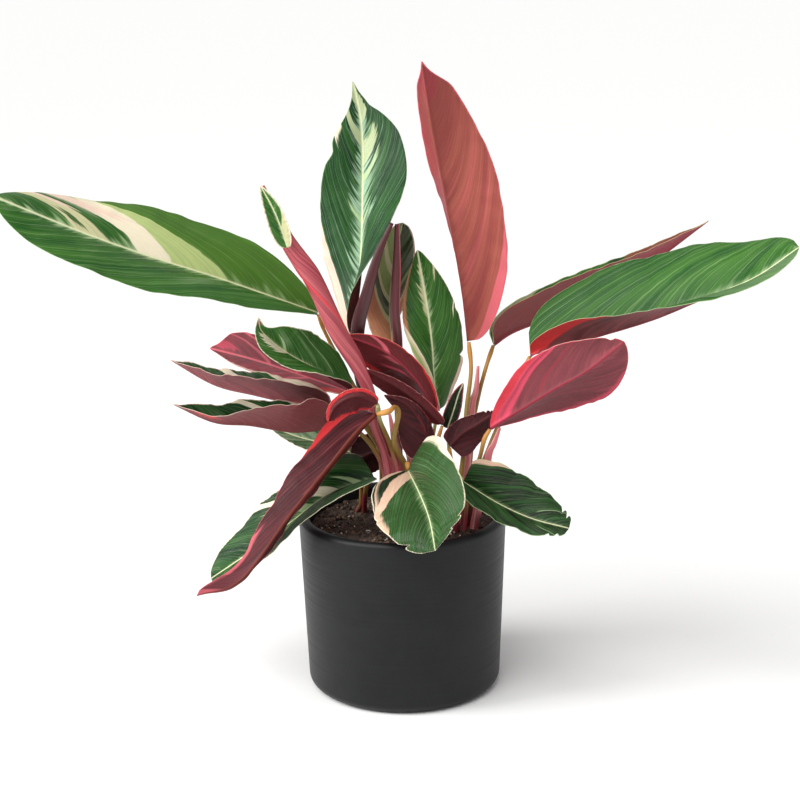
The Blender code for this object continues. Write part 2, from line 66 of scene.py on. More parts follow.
def srgb(red: float, green: float, blue: float) -> Colour:
    """Return a linear colour from 0 to 255 display values.

    Args:
        red: the red display value.
        green: the green one.
        blue: the blue one.

    Returns:
        The colour with an alpha of 1.
    """
    parts = []
    for value in (red, green, blue):
        value /= 255
        parts.append(value / 12.92 if value <= 0.04045 else ((value + 0.055) / 1.055) ** 2.4)
    return (*parts, 1.0)


class Tint(enum.Enum):
    """The plant's colours, as display values."""

    GREEN_DEEP = srgb(12, 46, 20)
    GREEN = srgb(30, 80, 24)
    GREEN_OLIVE = srgb(40, 66, 30)
    GREEN_MID = srgb(58, 108, 32)
    GREEN_BRIGHT = srgb(88, 126, 40)
    GREEN_BLACK = srgb(12, 24, 14)
    # The grey-green of the painted sheen, a highlight on the upper sides.
    SILVER = srgb(128, 150, 116)
    PALE_GREEN = srgb(172, 196, 146)
    LIME_GREY = srgb(158, 178, 108)
    LIME_PALE = srgb(182, 198, 128)
    MINT = srgb(168, 200, 168)
    SAGE = srgb(120, 130, 112)
    OLIVE_CREAM = srgb(206, 202, 156)
    SAGE_CREAM = srgb(178, 190, 146)
    CREAM = srgb(240, 228, 200)
    PEACH = srgb(208, 142, 106)
    BLUSH = srgb(238, 208, 188)
    PEACH_PALE = srgb(222, 184, 158)
    SALMON = srgb(160, 84, 70)
    PINK = srgb(214, 100, 112)
    PINK_PALE = srgb(226, 136, 138)
    SHELL = srgb(194, 92, 98)
    HOT_PINK = srgb(214, 74, 98)
    CORAL = srgb(218, 54, 58)
    ROSE = srgb(148, 46, 62)
    ROSE_PALE = srgb(136, 60, 68)
    BRICK = srgb(134, 58, 54)
    MAROON = srgb(84, 32, 36)
    GARNET = srgb(102, 34, 38)
    MAUVE = srgb(104, 48, 54)
    MAUVE_PALE = srgb(128, 62, 68)
    DUSTY = srgb(132, 72, 74)
    WINE = srgb(48, 18, 22)
    OLIVE = srgb(156, 124, 58)
    ORANGE = srgb(206, 146, 68)
    STRAW = srgb(206, 210, 146)
    STRAW_PALE = srgb(226, 228, 184)
    RUST = srgb(112, 46, 34)


class Half(enum.Enum):
    """The two halves of a blade, seen from its base with the upper side facing up."""

    LEFT = -1
    RIGHT = 1
    BOTH = 0


class Side(enum.Enum):
    """The two faces of a blade."""

    UPPER = "upper side"
    UNDER = "underside"


@dataclass(frozen=True)
class Veins:
    """How the side veins run over a blade.

    Attributes:
        start: how steeply a vein leaves the midrib, as a share of the half width.
        sweep: how much further it sweeps towards the tip at the margin.
        count: how many veins leave each side of the midrib.
        pleat: how high the pleat between two veins stands, as a share of their distance.
    """

    start: float = 0.9
    sweep: float = 1.6
    count: float = 15.0
    pleat: float = 0.014


VEINS = Veins()


@dataclass(frozen=True)
class Patch:
    """A streak of one colour that lies between two side veins.

    Attributes:
        half: the half of the blade it is on.
        vein: where its lower and upper vein leave the midrib, 0 at the base and 1 at the tip.
        tint: its colour on the upper side.
        across: how far from the midrib it starts and ends, 0 at the midrib and 1 at the margin.
        under: its colour on the underside, or None where it does not show through.
        amount: how strong it is.
        bend: how much less it sweeps towards the tip than the veins do, at the margin.
    """

    half: Half
    vein: Pair
    tint: Tint
    across: Pair = (0, 1)
    under: Tint | None = Tint.PINK
    amount: float = 1.0
    bend: float = 0.0


@dataclass(frozen=True)
class Finish:
    """How one blade is coloured.

    Attributes:
        dark: the deeper green between the side veins.
        light: the lighter green beside the side veins.
        painted_sheen: how much painted sheen, a grey-green highlight, lies in the bands between the veins.
        feather: how far the pale feathering reaches from the midrib, as a share of the half.
        rib: the colour of the fine veins and the feathering on the upper side.
        rib_width: half the midrib's width on the upper side in millimetres.
        margin: the upper margin's colour.
        margin_width: the upper margin's width in millimetres.
        under: the underside's main colour.
        under_deep: the underside's darker colour.
        under_rib: the midrib's colour on the underside.
        under_margin: the underside margin's colour.
        under_width: the underside margin's width in millimetres.
        patches: the streaks.
    """

    dark: Tint = Tint.GREEN_DEEP
    light: Tint = Tint.GREEN_MID
    painted_sheen: float = 0.25
    feather: float = 0.12
    rib: Tint = Tint.PALE_GREEN
    rib_width: float = 0.75
    margin: Tint = Tint.BLUSH
    margin_width: float = 0.5
    under: Tint = Tint.MAROON
    under_deep: Tint = Tint.WINE
    under_rib: Tint = Tint.ROSE
    under_margin: Tint = Tint.CORAL
    under_width: float = 0.6
    patches: tuple[Patch, ...] = ()


@dataclass(frozen=True)
class Leaf:
    """One leaf blade, drawn along its midrib from the petiole to the tip.

    Attributes:
        name: what the leaf is called in its node names.
        rib: points of the midrib in millimetres.
        roll: turn about the midrib in degrees at the base and the tip.
        wide: greatest half widths in millimetres, left and right of the midrib.
        fold: how far each half is lifted, in degrees, as (base, tip) for each half.
        form: how full the blade is at the base and at the tip.
        wave: height in millimetres, count and phase of the waves along the margins.
        point: how much of the length is drawn out into a narrow tip, as a share.
        nicks: tears in the margin, each as (half, place along, length, depth).
        finish: its colours.
    """

    name: str
    rib: tuple[Vec, ...]
    roll: Pair
    wide: Pair
    fold: tuple[Pair, Pair]
    form: Pair
    wave: Vec = (0, 3, 0)
    point: float = 0.0
    nicks: tuple[tuple[float, float, float, float], ...] = ()
    finish: Finish = field(default_factory=Finish)


@dataclass(frozen=True)
class Stem:
    """A petiole, shoot or sheath that rises from the soil.

    Attributes:
        name: the node it stands for.
        path: points in millimetres from the top to the soil's surface.
        radius: radii in millimetres, evenly spaced along the path.
        tints: colours from the top to the foot.
        flat: how thick it is from front to back, as a share of its width.
    """

    name: str
    path: tuple[Vec, ...]
    radius: tuple[float, ...]
    tints: tuple[Tint, ...] = (Tint.ORANGE, Tint.OLIVE, Tint.OLIVE, Tint.RUST)
    flat: float = 1.0


LEFT, RIGHT, BOTH = Half.LEFT, Half.RIGHT, Half.BOTH
PINK_FOOT = (Tint.ORANGE, Tint.OLIVE, Tint.OLIVE, Tint.PINK)
PALE_TOP = (Tint.STRAW, Tint.OLIVE, Tint.PINK, Tint.ROSE)
RUSTY_FOOT = (Tint.ORANGE, Tint.OLIVE, Tint.ROSE, Tint.RUST)

LEAVES = (
    Leaf(
        name="long_left", roll=(60, 67), wide=(34, 37), fold=((31, -12), (34, -13)), form=(0.64, 0.57),
        wave=(1.2, 3, 0.1),
        rib=((-50, 6, 238), (-106, -10, 263), (-146, -24, 280), (-183, -36, 297), (-231, -48, 321)),
        finish=Finish(
            dark=Tint.GREEN, light=Tint.GREEN_MID, painted_sheen=0.4, feather=0.12, rib_width=1.35,
            under_margin=Tint.ROSE, margin=Tint.PALE_GREEN, margin_width=0.3,
            patches=(
                Patch(RIGHT, (-0.9, 0.3), Tint.GREEN_BRIGHT, under=None, amount=0.5),
                Patch(RIGHT, (0.3, 0.47), Tint.LIME_PALE),
                Patch(RIGHT, (0.46, 0.56), Tint.CREAM),
                Patch(RIGHT, (0.46, 0.57), Tint.CREAM, (0, 1), Tint.PINK, 1, 0.16),
                Patch(RIGHT, (0.44, 0.57), Tint.BLUSH, (0.55, 1)),
                # A painted sheen: a grey-green highlight streak towards the margin, upper side only.
                Patch(RIGHT, (0.55, 0.6), Tint.SILVER, (0.5, 1), None, 0.6),
                Patch(RIGHT, (0.65, 0.76), Tint.OLIVE_CREAM),
                Patch(RIGHT, (0.63, 0.68), Tint.BLUSH, (0.5, 1)),
                Patch(RIGHT, (0.71, 0.74), Tint.GREEN, (0.1, 0.42), None),
                Patch(LEFT, (-0.9, -0.13), Tint.MAROON, (0.86, 1)),
            ),
        ),
    ),
    Leaf(
        name="top_green", roll=(-68, 21), wide=(27, 36), fold=((13, 13), (50, 6)), form=(0.73, 0.88),
        wave=(1, 3, 0.3), point=0.22,
        rib=((-30, 26, 219), (-24, 40, 258), (-22, 52, 300), (-22, 62, 343), (-27, 70, 372)),
        nicks=((-1, 0.72, 0.03, 0.12), (1, 0.9, 0.02, 0.15)),
        finish=Finish(
            dark=Tint.GREEN_DEEP, light=Tint.GREEN, painted_sheen=0.14, feather=0.2, rib=Tint.MINT,
            rib_width=1.3, margin=Tint.PALE_GREEN, margin_width=0.3,
            patches=(
                Patch(LEFT, (-0.9, 0.03), Tint.BLUSH, (0.3, 1)),
                Patch(LEFT, (-0.9, -0.1), Tint.PEACH_PALE, (0.55, 1), Tint.PINK, 0.7),
                Patch(LEFT, (0.52, 0.64), Tint.CREAM, (0.86, 1)),
                Patch(LEFT, (0.74, 0.8), Tint.SAGE_CREAM),
                Patch(LEFT, (0.9, 1.1), Tint.SAGE_CREAM),
                Patch(RIGHT, (0.67, 0.76), Tint.SAGE_CREAM, (0, 0.42)),
                Patch(RIGHT, (0.84, 1.1), Tint.SAGE_CREAM, (0, 0.6)),
                Patch(RIGHT, (0.75, 0.79), Tint.GREEN_MID, (0.14, 0.3), None, 0.7),
                Patch(RIGHT, (0.6, 0.63), Tint.PALE_GREEN, (0, 0.4)),
                Patch(RIGHT, (0.42, 0.44), Tint.PALE_GREEN, (0, 0.25)),
                Patch(LEFT, (0.44, 0.46), Tint.PALE_GREEN, (0, 0.25)),
            ),
        ),
    ),
    Leaf(
        name="back_cream", roll=(-40, 0), wide=(15, 18), fold=((23, 23), (44, 22)), form=(0.4, 0.51),
        wave=(0.8, 3, 0.2),
        rib=((-4, 41, 204), (-6, 50, 230), (-3, 58, 257), (3, 60, 284)),
        finish=Finish(
            dark=Tint.GREEN_OLIVE, light=Tint.SAGE, painted_sheen=0.3, feather=0.06, rib=Tint.LIME_GREY,
            margin_width=1.2,
            patches=(
                Patch(LEFT, (-0.9, 0.24), Tint.PEACH),
                Patch(LEFT, (0.22, 0.27), Tint.OLIVE_CREAM),
                Patch(LEFT, (0.4, 0.95), Tint.LIME_GREY, under=Tint.PINK, amount=0.8),
                Patch(LEFT, (0.37, 0.42), Tint.OLIVE_CREAM),
                Patch(LEFT, (0.58, 0.66), Tint.OLIVE_CREAM),
                Patch(RIGHT, (-0.9, 0), Tint.PEACH),
                Patch(RIGHT, (-0.01, 0.06), Tint.OLIVE_CREAM),
                Patch(RIGHT, (0.24, 0.3), Tint.LIME_GREY, (0.3, 1), Tint.PINK, 0.8),
            ),
        ),
    ),
    Leaf(
        name="mid_green", roll=(60, -27), wide=(18, 20), fold=((47, -16), (17, -2)), form=(0.48, 0.75),
        wave=(0.8, 3, 0),
        rib=((23, 24, 170), (21, 24, 191), (20, 26, 212), (17, 32, 239), (12, 40, 270)),
        nicks=((1, 0.34, 0.012, 0.1), (1, 0.62, 0.02, 0.04)),
        finish=Finish(
            dark=Tint.GREEN, light=Tint.GREEN_MID, painted_sheen=0.1, feather=0.1, rib_width=1,
            margin=Tint.BLUSH, margin_width=0.4,
            patches=(
                Patch(LEFT, (0.02, 0.8), Tint.PEACH, (0.86, 1)),
                Patch(LEFT, (-0.9, 0.14), Tint.OLIVE_CREAM),
                Patch(LEFT, (-0.05, 0.04), Tint.LIME_GREY, (0.2, 1), None),
                Patch(LEFT, (0.1, 0.15), Tint.CREAM),
                Patch(LEFT, (0.6, 0.9), Tint.OLIVE_CREAM, (0, 0.2), None, 0.9),
                Patch(RIGHT, (0.24, 0.27), Tint.CREAM, (0.82, 1)),
                Patch(RIGHT, (0.66, 0.7), Tint.OLIVE_CREAM, (0.6, 1)),
                Patch(RIGHT, (-0.9, -0.12), Tint.BLUSH, (0.7, 1)),
            ),
        ),
    ),
    Leaf(
        name="tall_red", roll=(-238, -195), wide=(34, 19), fold=((15, 22), (48, 33)), form=(0.55, 0.72),
        wave=(0.8, 3, 0.4), point=0.1,
        rib=((43, 20, 216), (39, 14, 251), (31, 4, 298), (22, -8, 347), (15, -24, 392)),
        finish=Finish(
            painted_sheen=0.3, feather=0.2, under=Tint.SALMON, under_deep=Tint.BRICK, under_rib=Tint.BRICK,
            under_margin=Tint.PINK, under_width=0.9,
            patches=(
                Patch(LEFT, (-0.9, -0.05), Tint.CREAM, under=Tint.PINK, amount=0.8),
                Patch(LEFT, (-0.9, -0.16), Tint.CREAM, (0.8, 1), Tint.HOT_PINK, 0.35),
                Patch(LEFT, (0.2, 0.24), Tint.CREAM, (0.1, 0.9), Tint.PINK, 0.22),
                Patch(LEFT, (0.4, 0.46), Tint.CREAM, (0.1, 0.9), Tint.PINK, 0.16),
                Patch(RIGHT, (-0.9, 1.1), Tint.GREEN_DEEP, (0.4, 1), Tint.ROSE, 0.6),
                Patch(BOTH, (0.62, 1.1), Tint.GREEN_DEEP, under=Tint.BRICK, amount=0.6),
                Patch(BOTH, (0.85, 1.1), Tint.GREEN_DEEP, under=Tint.ROSE, amount=0.6),
            ),
        ),
    ),
    Leaf(
        name="back_right", roll=(-83, -82), wide=(19, 28), fold=((63, 34), (65, 39)), form=(0.46, 0.97),
        point=0.12,
        rib=((59, 30, 211), (72, 36, 218), (102, 48, 227), (155, 66, 250), (201, 84, 278)),
        finish=Finish(
            painted_sheen=0.4, margin=Tint.OLIVE_CREAM, under=Tint.DUSTY, under_deep=Tint.BRICK,
            under_rib=Tint.ROSE,
            patches=(
                Patch(LEFT, (-0.9, -0.02), Tint.OLIVE_CREAM, (0.8, 1), Tint.ROSE, 0.6),
                Patch(BOTH, (0.45, 1.1), Tint.ROSE, under=Tint.ROSE, amount=0.7),
            ),
        ),
    ),
    Leaf(
        name="long_right", roll=(-72, -73), wide=(43, 21), fold=((44, 3), (92, 0)), form=(0.42, 0.54),
        wave=(1.2, 3, 0.2),
        rib=((80, 0, 211), (121, -10, 225), (152, -20, 237), (178, -32, 251), (207, -44, 266),
             (230, -56, 286)),
        finish=Finish(
            dark=Tint.GREEN, light=Tint.GREEN_MID, painted_sheen=0.05, feather=0.05, margin=Tint.PALE_GREEN,
            margin_width=0.35, under=Tint.DUSTY, under_deep=Tint.MAROON, under_margin=Tint.CORAL,
            under_width=0.7,
            patches=(
                Patch(RIGHT, (-0.9, 0.05), Tint.OLIVE_CREAM, (0.12, 1), Tint.CORAL),
                # A painted sheen on the upper side: a grey-green highlight over the outer part of the
                # blade.
                Patch(RIGHT, (0.5, 1.1), Tint.SILVER, under=Tint.DUSTY, amount=0.35),
            ),
        ),
    ),
    Leaf(
        name="low_right_red", roll=(-162, -178), wide=(25, 23), fold=((34, 4), (27, 5)),
        form=(0.82, 0.71), wave=(1, 3, 0.6),
        rib=((55, -14, 169), (74, -24, 184), (92, -36, 199), (110, -48, 213), (130, -60, 233)),
        nicks=((1, 0.955, 0.012, 0.3),),
        finish=Finish(
            painted_sheen=0.4, under=Tint.MAUVE_PALE, under_deep=Tint.MAUVE, under_rib=Tint.ROSE,
            under_margin=Tint.HOT_PINK, under_width=0.7,
            patches=(
                Patch(RIGHT, (-2, 0.15), Tint.CREAM, under=Tint.HOT_PINK),
                Patch(RIGHT, (-2, 0), Tint.CREAM, (0.3, 1), Tint.CORAL, 0.7),
                Patch(RIGHT, (0.05, 0.08), Tint.CREAM, (0.2, 1), Tint.MAUVE, 0.6),
                Patch(RIGHT, (0.34, 0.38), Tint.CREAM, (0.1, 1), Tint.ROSE, 0.6),
                Patch(BOTH, (0.74, 1), Tint.OLIVE_CREAM, (0, 0.2), Tint.PINK, 0.18),
                Patch(LEFT, (-2, 0.5), Tint.OLIVE_CREAM, (0.9, 1), Tint.HOT_PINK, 0.6),
            ),
        ),
    ),
    Leaf(
        name="front_down", roll=(-121, -114), wide=(30, 10), fold=((4, 11), (125, 130)),
        form=(0.18, 0.51), wave=(1, 4, 0.2),
        rib=((-15, -26, 182), (-27, -34, 173), (-43, -44, 156), (-67, -56, 129), (-97, -66, 92),
             (-123, -70, 84)),
        finish=Finish(
            painted_sheen=0.4, under=Tint.MAROON, under_deep=Tint.WINE, under_rib=Tint.RUST,
            under_margin=Tint.PINK, under_width=0.5,
            patches=(
                Patch(LEFT, (-0.9, -0.18), Tint.CREAM, (0.7, 1), Tint.CORAL),
                Patch(LEFT, (0.3, 1), Tint.CREAM, (0.86, 1), Tint.PINK, 0.8),
                Patch(BOTH, (0.66, 1.2), Tint.BLUSH, under=Tint.MAUVE, amount=0.7),
                Patch(BOTH, (0.9, 1.2), Tint.BLUSH, under=Tint.PINK, amount=0.6),
            ),
        ),
    ),
    Leaf(
        name="front_arch", roll=(170, 175), wide=(4, 12), fold=((15, 10), (15, 9)), form=(0.33, 0.5),
        rib=((-14, -25, 189), (-23, -27, 194), (-32, -28, 193), (-40, -27, 187), (-44, -26, 178)),
        finish=Finish(
            under=Tint.MAROON, under_deep=Tint.MAROON, under_rib=Tint.MAROON, under_margin=Tint.CORAL,
            under_width=2.4,
            patches=(
                Patch(LEFT, (-0.9, 0.9), Tint.CREAM, (0.6, 1), Tint.CORAL),
            ),
        ),
    ),
    Leaf(
        name="left_upper", roll=(87, 75), wide=(19, 14), fold=((61, 47), (60, 47)), form=(0.49, 0.85),
        wave=(0.7, 4, 0.1), point=0.1,
        rib=((-43, 4, 181), (-71, 6, 183), (-92, 12, 186), (-117, 22, 190), (-145, 34, 203)),
        finish=Finish(
            dark=Tint.GREEN_DEEP, light=Tint.GREEN, painted_sheen=0.2, feather=0.08, under=Tint.DUSTY,
            under_deep=Tint.MAUVE, under_rib=Tint.DUSTY, margin=Tint.BLUSH, margin_width=0.7,
            under_margin=Tint.PINK, under_width=0.5,
            patches=(
                Patch(RIGHT, (-0.9, 0.1), Tint.CREAM, (0.5, 1)),
                Patch(RIGHT, (-0.9, -0.1), Tint.BLUSH, (0.4, 1), Tint.PINK, 0.7),
                Patch(RIGHT, (0.38, 0.5), Tint.CREAM, (0.6, 1)),
                Patch(BOTH, (0.93, 1.1), Tint.GREEN_DEEP, under=Tint.SAGE, amount=0.8),
            ),
        ),
    ),
    Leaf(
        name="left_lower", roll=(87, 76), wide=(29, 17), fold=((67, 39), (66, 49)), form=(0.31, 0.84),
        wave=(0.7, 4, 0.5), point=0.1,
        rib=((-43, 0, 167), (-66, -7, 167), (-92, -16, 174), (-113, -26, 179), (-136, -36, 193)),
        finish=Finish(
            dark=Tint.GREEN_DEEP, light=Tint.GREEN, painted_sheen=0.3, feather=0.08, under=Tint.DUSTY,
            under_deep=Tint.DUSTY, under_rib=Tint.DUSTY, margin=Tint.BLUSH, margin_width=0.7,
            under_margin=Tint.PINK, under_width=0.5,
            patches=(
                Patch(RIGHT, (0.22, 0.32), Tint.CREAM, (0.3, 1)),
                Patch(RIGHT, (-0.9, -0.12), Tint.CREAM, (0.7, 1), Tint.BLUSH),
                Patch(LEFT, (0.64, 0.8), Tint.CREAM, (0.3, 1), Tint.CORAL),
                Patch(BOTH, (0.93, 1.1), Tint.GREEN_DEEP, under=Tint.SAGE, amount=0.8),
            ),
        ),
    ),
    Leaf(
        name="left_pink", roll=(134, 176), wide=(19, 12), fold=((-21, 18), (-1, 17)), form=(0.29, 0.44),
        wave=(0.8, 4, 0.3), point=0.16,
        rib=((-33, 16, 187), (-63, 26, 195), (-92, 40, 201), (-122, 56, 205)),
        finish=Finish(
            painted_sheen=0.3, feather=0.25, under=Tint.ROSE_PALE, under_deep=Tint.MAUVE, under_rib=Tint.PINK,
            under_margin=Tint.PINK, under_width=0.5,
            patches=(
                Patch(LEFT, (0.3, 0.36), Tint.CREAM, (0.05, 1), Tint.PINK, 0.8),
                Patch(LEFT, (0.52, 0.56), Tint.CREAM, (0.05, 1), Tint.PINK, 0.7),
                Patch(LEFT, (0.74, 0.9), Tint.CREAM, (0.2, 1), Tint.HOT_PINK, 0.5),
                Patch(RIGHT, (-0.9, 0.02), Tint.CREAM, (0.2, 1), Tint.CORAL, 0.6),
                Patch(RIGHT, (0.24, 0.27), Tint.CREAM, (0.05, 1), Tint.PINK, 0.8),
                Patch(RIGHT, (-0.9, 1.1), Tint.CREAM, (0.9, 1), Tint.BLUSH, 0.8),
            ),
        ),
    ),
    Leaf(
        name="left_green", roll=(81, 11), wide=(14, 18), fold=((48, 23), (29, 39)), form=(0.53, 0.62),
        wave=(0.6, 3, 0.1), point=0.2,
        rib=((-30, -4, 192), (-49, -8, 205), (-68, -14, 218), (-82, -22, 233), (-84, -26, 243)),
        finish=Finish(
            dark=Tint.GREEN, light=Tint.GREEN_MID, painted_sheen=0.55, feather=0.05, rib=Tint.PALE_GREEN,
            margin=Tint.CREAM, margin_width=0.6,
            patches=(
                Patch(LEFT, (0.58, 0.84), Tint.CREAM, (0, 0.42), Tint.PINK, 0.85),
                Patch(RIGHT, (0.6, 0.63), Tint.PALE_GREEN, (0, 0.4)),
                Patch(RIGHT, (0.14, 0.16), Tint.PALE_GREEN, (0.2, 1), None, 0.6),
                Patch(BOTH, (0.92, 1.1), Tint.DUSTY, under=Tint.DUSTY),
            ),
        ),
    ),
    Leaf(
        name="mid_maroon", roll=(143, 180), wide=(8, 20), fold=((13, 9), (28, 7)), form=(0.49, 0.62),
        rib=((21, 7, 175), (9, 3, 197), (-9, -1, 215), (-32, -5, 226)),
        finish=Finish(
            painted_sheen=0.3, under=Tint.GARNET, under_deep=Tint.GARNET, under_rib=Tint.ROSE,
            under_margin=Tint.CORAL, under_width=0.9,
            patches=(
                Patch(LEFT, (0.62, 0.68), Tint.CREAM, under=Tint.PINK),
                Patch(RIGHT, (0.46, 0.6), Tint.CREAM, (0, 0.25), Tint.PINK, 0.8),
                Patch(RIGHT, (0.24, 0.34), Tint.CREAM, (0.2, 0.6), Tint.HOT_PINK, 0.7),
                Patch(RIGHT, (0.03, 0.5), Tint.CREAM, (0.84, 1), Tint.CORAL),
                Patch(LEFT, (-0.9, 0.12), Tint.CREAM, (0.78, 1), Tint.CORAL, 0.9),
            ),
        ),
    ),
    Leaf(
        name="mid_dark", roll=(162, 175), wide=(4, 9), fold=((15, 9), (22, 9)), form=(0.39, 0.55),
        rib=((26, 4, 167), (12, 1, 181), (-3, -1, 193), (-22, -3, 204)),
        finish=Finish(
            painted_sheen=0.3, under=Tint.GARNET, under_deep=Tint.MAROON, under_rib=Tint.MAROON,
            under_margin=Tint.ROSE, under_width=0.8,
            patches=(
                Patch(LEFT, (-0.9, 0.1), Tint.CREAM, (0.8, 1), Tint.CORAL, 0.8),
            ),
        ),
    ),
    Leaf(
        name="mid_drooping", roll=(214, 172), wide=(6, 18), fold=((5, 6), (-17, 8)), form=(0.15, 0.93),
        rib=((17, -1, 154), (11, -4, 172), (3, -6, 183), (-10, -7, 189)),
        finish=Finish(
            painted_sheen=0.3, under=Tint.MAROON, under_deep=Tint.WINE, under_rib=Tint.MAROON,
            under_margin=Tint.ROSE, under_width=0.5,
            patches=(
                Patch(LEFT, (0.16, 0.44), Tint.CREAM, (0, 0.25), Tint.ROSE, 0.9),
            ),
        ),
    ),
    Leaf(
        name="right_maroon", roll=(-200, -160), wide=(12, 8), fold=((2, 19), (14, 11)),
        form=(0.15, 0.46),
        rib=((30, -4, 155), (38, -4, 163), (48, -4, 169), (58, -4, 176)),
        nicks=((-1, 0.9, 0.012, 0.35), (1, 0.88, 0.014, 0.3), (1, 0.95, 0.01, 0.4)),
        finish=Finish(
            under=Tint.MAROON, under_deep=Tint.WINE, under_rib=Tint.MAROON, under_margin=Tint.ROSE,
            under_width=0.4,
        ),
    ),
    Leaf(
        name="young_green", roll=(-5, 2), wide=(5, 4), fold=((14, 13), (15, 10)), form=(0.43, 0.77),
        rib=((29, 11, 162), (33, 11, 174), (36, 11, 184), (39, 11, 191)),
        finish=Finish(
            # Both greens are nearly black: painted shade, for the shadow that the leaves above cast on this
            # small leaf.
            dark=Tint.GREEN_BLACK, light=Tint.GREEN_BLACK, painted_sheen=0.1, feather=0.02, margin=Tint.PINK,
            margin_width=0.8,
        ),
    ),
    Leaf(
        name="front_low", roll=(-14, 20), wide=(40, 30), fold=((41, 28), (30, 12)), form=(0.36, 0.42),
        wave=(1.4, 3, 0.2),
        rib=((4, -22, 145), (11, -46, 137), (16, -68, 129), (19, -86, 116)),
        nicks=((-1, 0.86, 0.012, 0.16), (-1, 0.93, 0.01, 0.3), (1, 0.9, 0.012, 0.25),
               (1, 0.5, 0.02, 0.03)),
        finish=Finish(
            dark=Tint.GREEN_OLIVE, light=Tint.GREEN, painted_sheen=0.35, feather=0.06, rib=Tint.PALE_GREEN,
            margin=Tint.CREAM, margin_width=0.9,
            patches=(
                Patch(RIGHT, (-0.9, 0.02), Tint.GREEN_BLACK, (0.08, 1), None, 0.85, 0.67),
                Patch(RIGHT, (0.01, 0.11), Tint.PEACH_PALE, (0, 1), Tint.PINK, 1, 0.67),
                Patch(RIGHT, (-0.62, -0.1), Tint.PEACH_PALE, (0.88, 1)),
                Patch(LEFT, (-1.2, -0.7), Tint.CREAM, (0.88, 1)),
            ),
        ),
    ),
    Leaf(
        name="right_low", roll=(-35, -64), wide=(22, 16), fold=((55, 3), (41, 1)), form=(0.15, 0.33),
        wave=(1.2, 4, 0.3),
        rib=((38, -18, 136), (58, -30, 126), (78, -40, 119), (100, -48, 115)),
        nicks=((-1, 0.9, 0.012, 0.25), (-1, 0.95, 0.01, 0.4), (1, 0.86, 0.012, 0.2),
               (1, 0.93, 0.012, 0.3)),
        finish=Finish(
            dark=Tint.GREEN_BLACK, light=Tint.GREEN, painted_sheen=0.1, feather=0.04, margin=Tint.PALE_GREEN,
            margin_width=0.5,
            patches=(
                Patch(LEFT, (-0.9, -0.44), Tint.PEACH_PALE, (0.84, 1)),
                Patch(LEFT, (0.6, 0.62), Tint.PALE_GREEN, (0.3, 1), None, 0.7),
                Patch(RIGHT, (0.62, 0.64), Tint.PALE_GREEN, (0.3, 1), None, 0.6),
            ),
        ),
    ),
    Leaf(
        name="left_low", roll=(72, 53), wide=(22, 24), fold=((31, 12), (26, 21)), form=(0.17, 0.52),
        wave=(1.2, 3, 0.1),
        rib=((-17, -14, 138), (-44, -22, 131), (-71, -22, 111), (-96, -10, 89), (-122, 4, 67)),
        finish=Finish(
            dark=Tint.GREEN_DEEP, light=Tint.GREEN, painted_sheen=0.3, feather=0.06, margin=Tint.CREAM,
            margin_width=0.6,
            patches=(
                Patch(RIGHT, (0.17, 0.25), Tint.CREAM),
                Patch(RIGHT, (0.3, 0.36), Tint.PALE_GREEN, (0, 0.6), None, 0.7),
                Patch(RIGHT, (0.06, 0.09), Tint.PALE_GREEN, (0, 0.35)),
                Patch(LEFT, (0.3, 0.36), Tint.LIME_GREY, (0.1, 1), Tint.PINK, 0.7),
            ),
        ),
    ),
    Leaf(
        name="left_behind", roll=(48, 60), wide=(9, 8), fold=((14, 14), (14, 9)), form=(0.46, 0.74),
        rib=((-32, 12, 147), (-48, 18, 151), (-64, 26, 153), (-83, 36, 157)),
        # Its lighter colour is the grey-green of the painted sheen, a highlight.
        finish=Finish(dark=Tint.GREEN, light=Tint.SILVER, painted_sheen=0.4, feather=0.1),
    ),
    Leaf(
        name="behind_stems", roll=(165, 175), wide=(13, 14), fold=((10, 5), (10, 5)), form=(0.4, 0.5),
        rib=((-7, 32, 143), (-19, 34, 140), (-30, 36, 133), (-39, 36, 123)),
        finish=Finish(under=Tint.WINE, under_deep=Tint.WINE, under_rib=Tint.MAROON),
    ),
)

SPEAR_OPENING = Leaf(
    name="spear_opening", roll=(-10, 10), wide=(6, 5), fold=((10, 20), (25, 20)), form=(0.45, 0.8),
    rib=((-65, -31, 286), (-69, -31, 299), (-73, -30, 309), (-80, -27, 322)),
    finish=Finish(
        dark=Tint.GREEN, light=Tint.GREEN_MID, painted_sheen=0.2, feather=0.2, margin=Tint.CREAM,
        margin_width=1.1,
        patches=(
            Patch(RIGHT, (-0.5, 0.3), Tint.OLIVE_CREAM, (0.1, 1)),
        ),
    ),
)

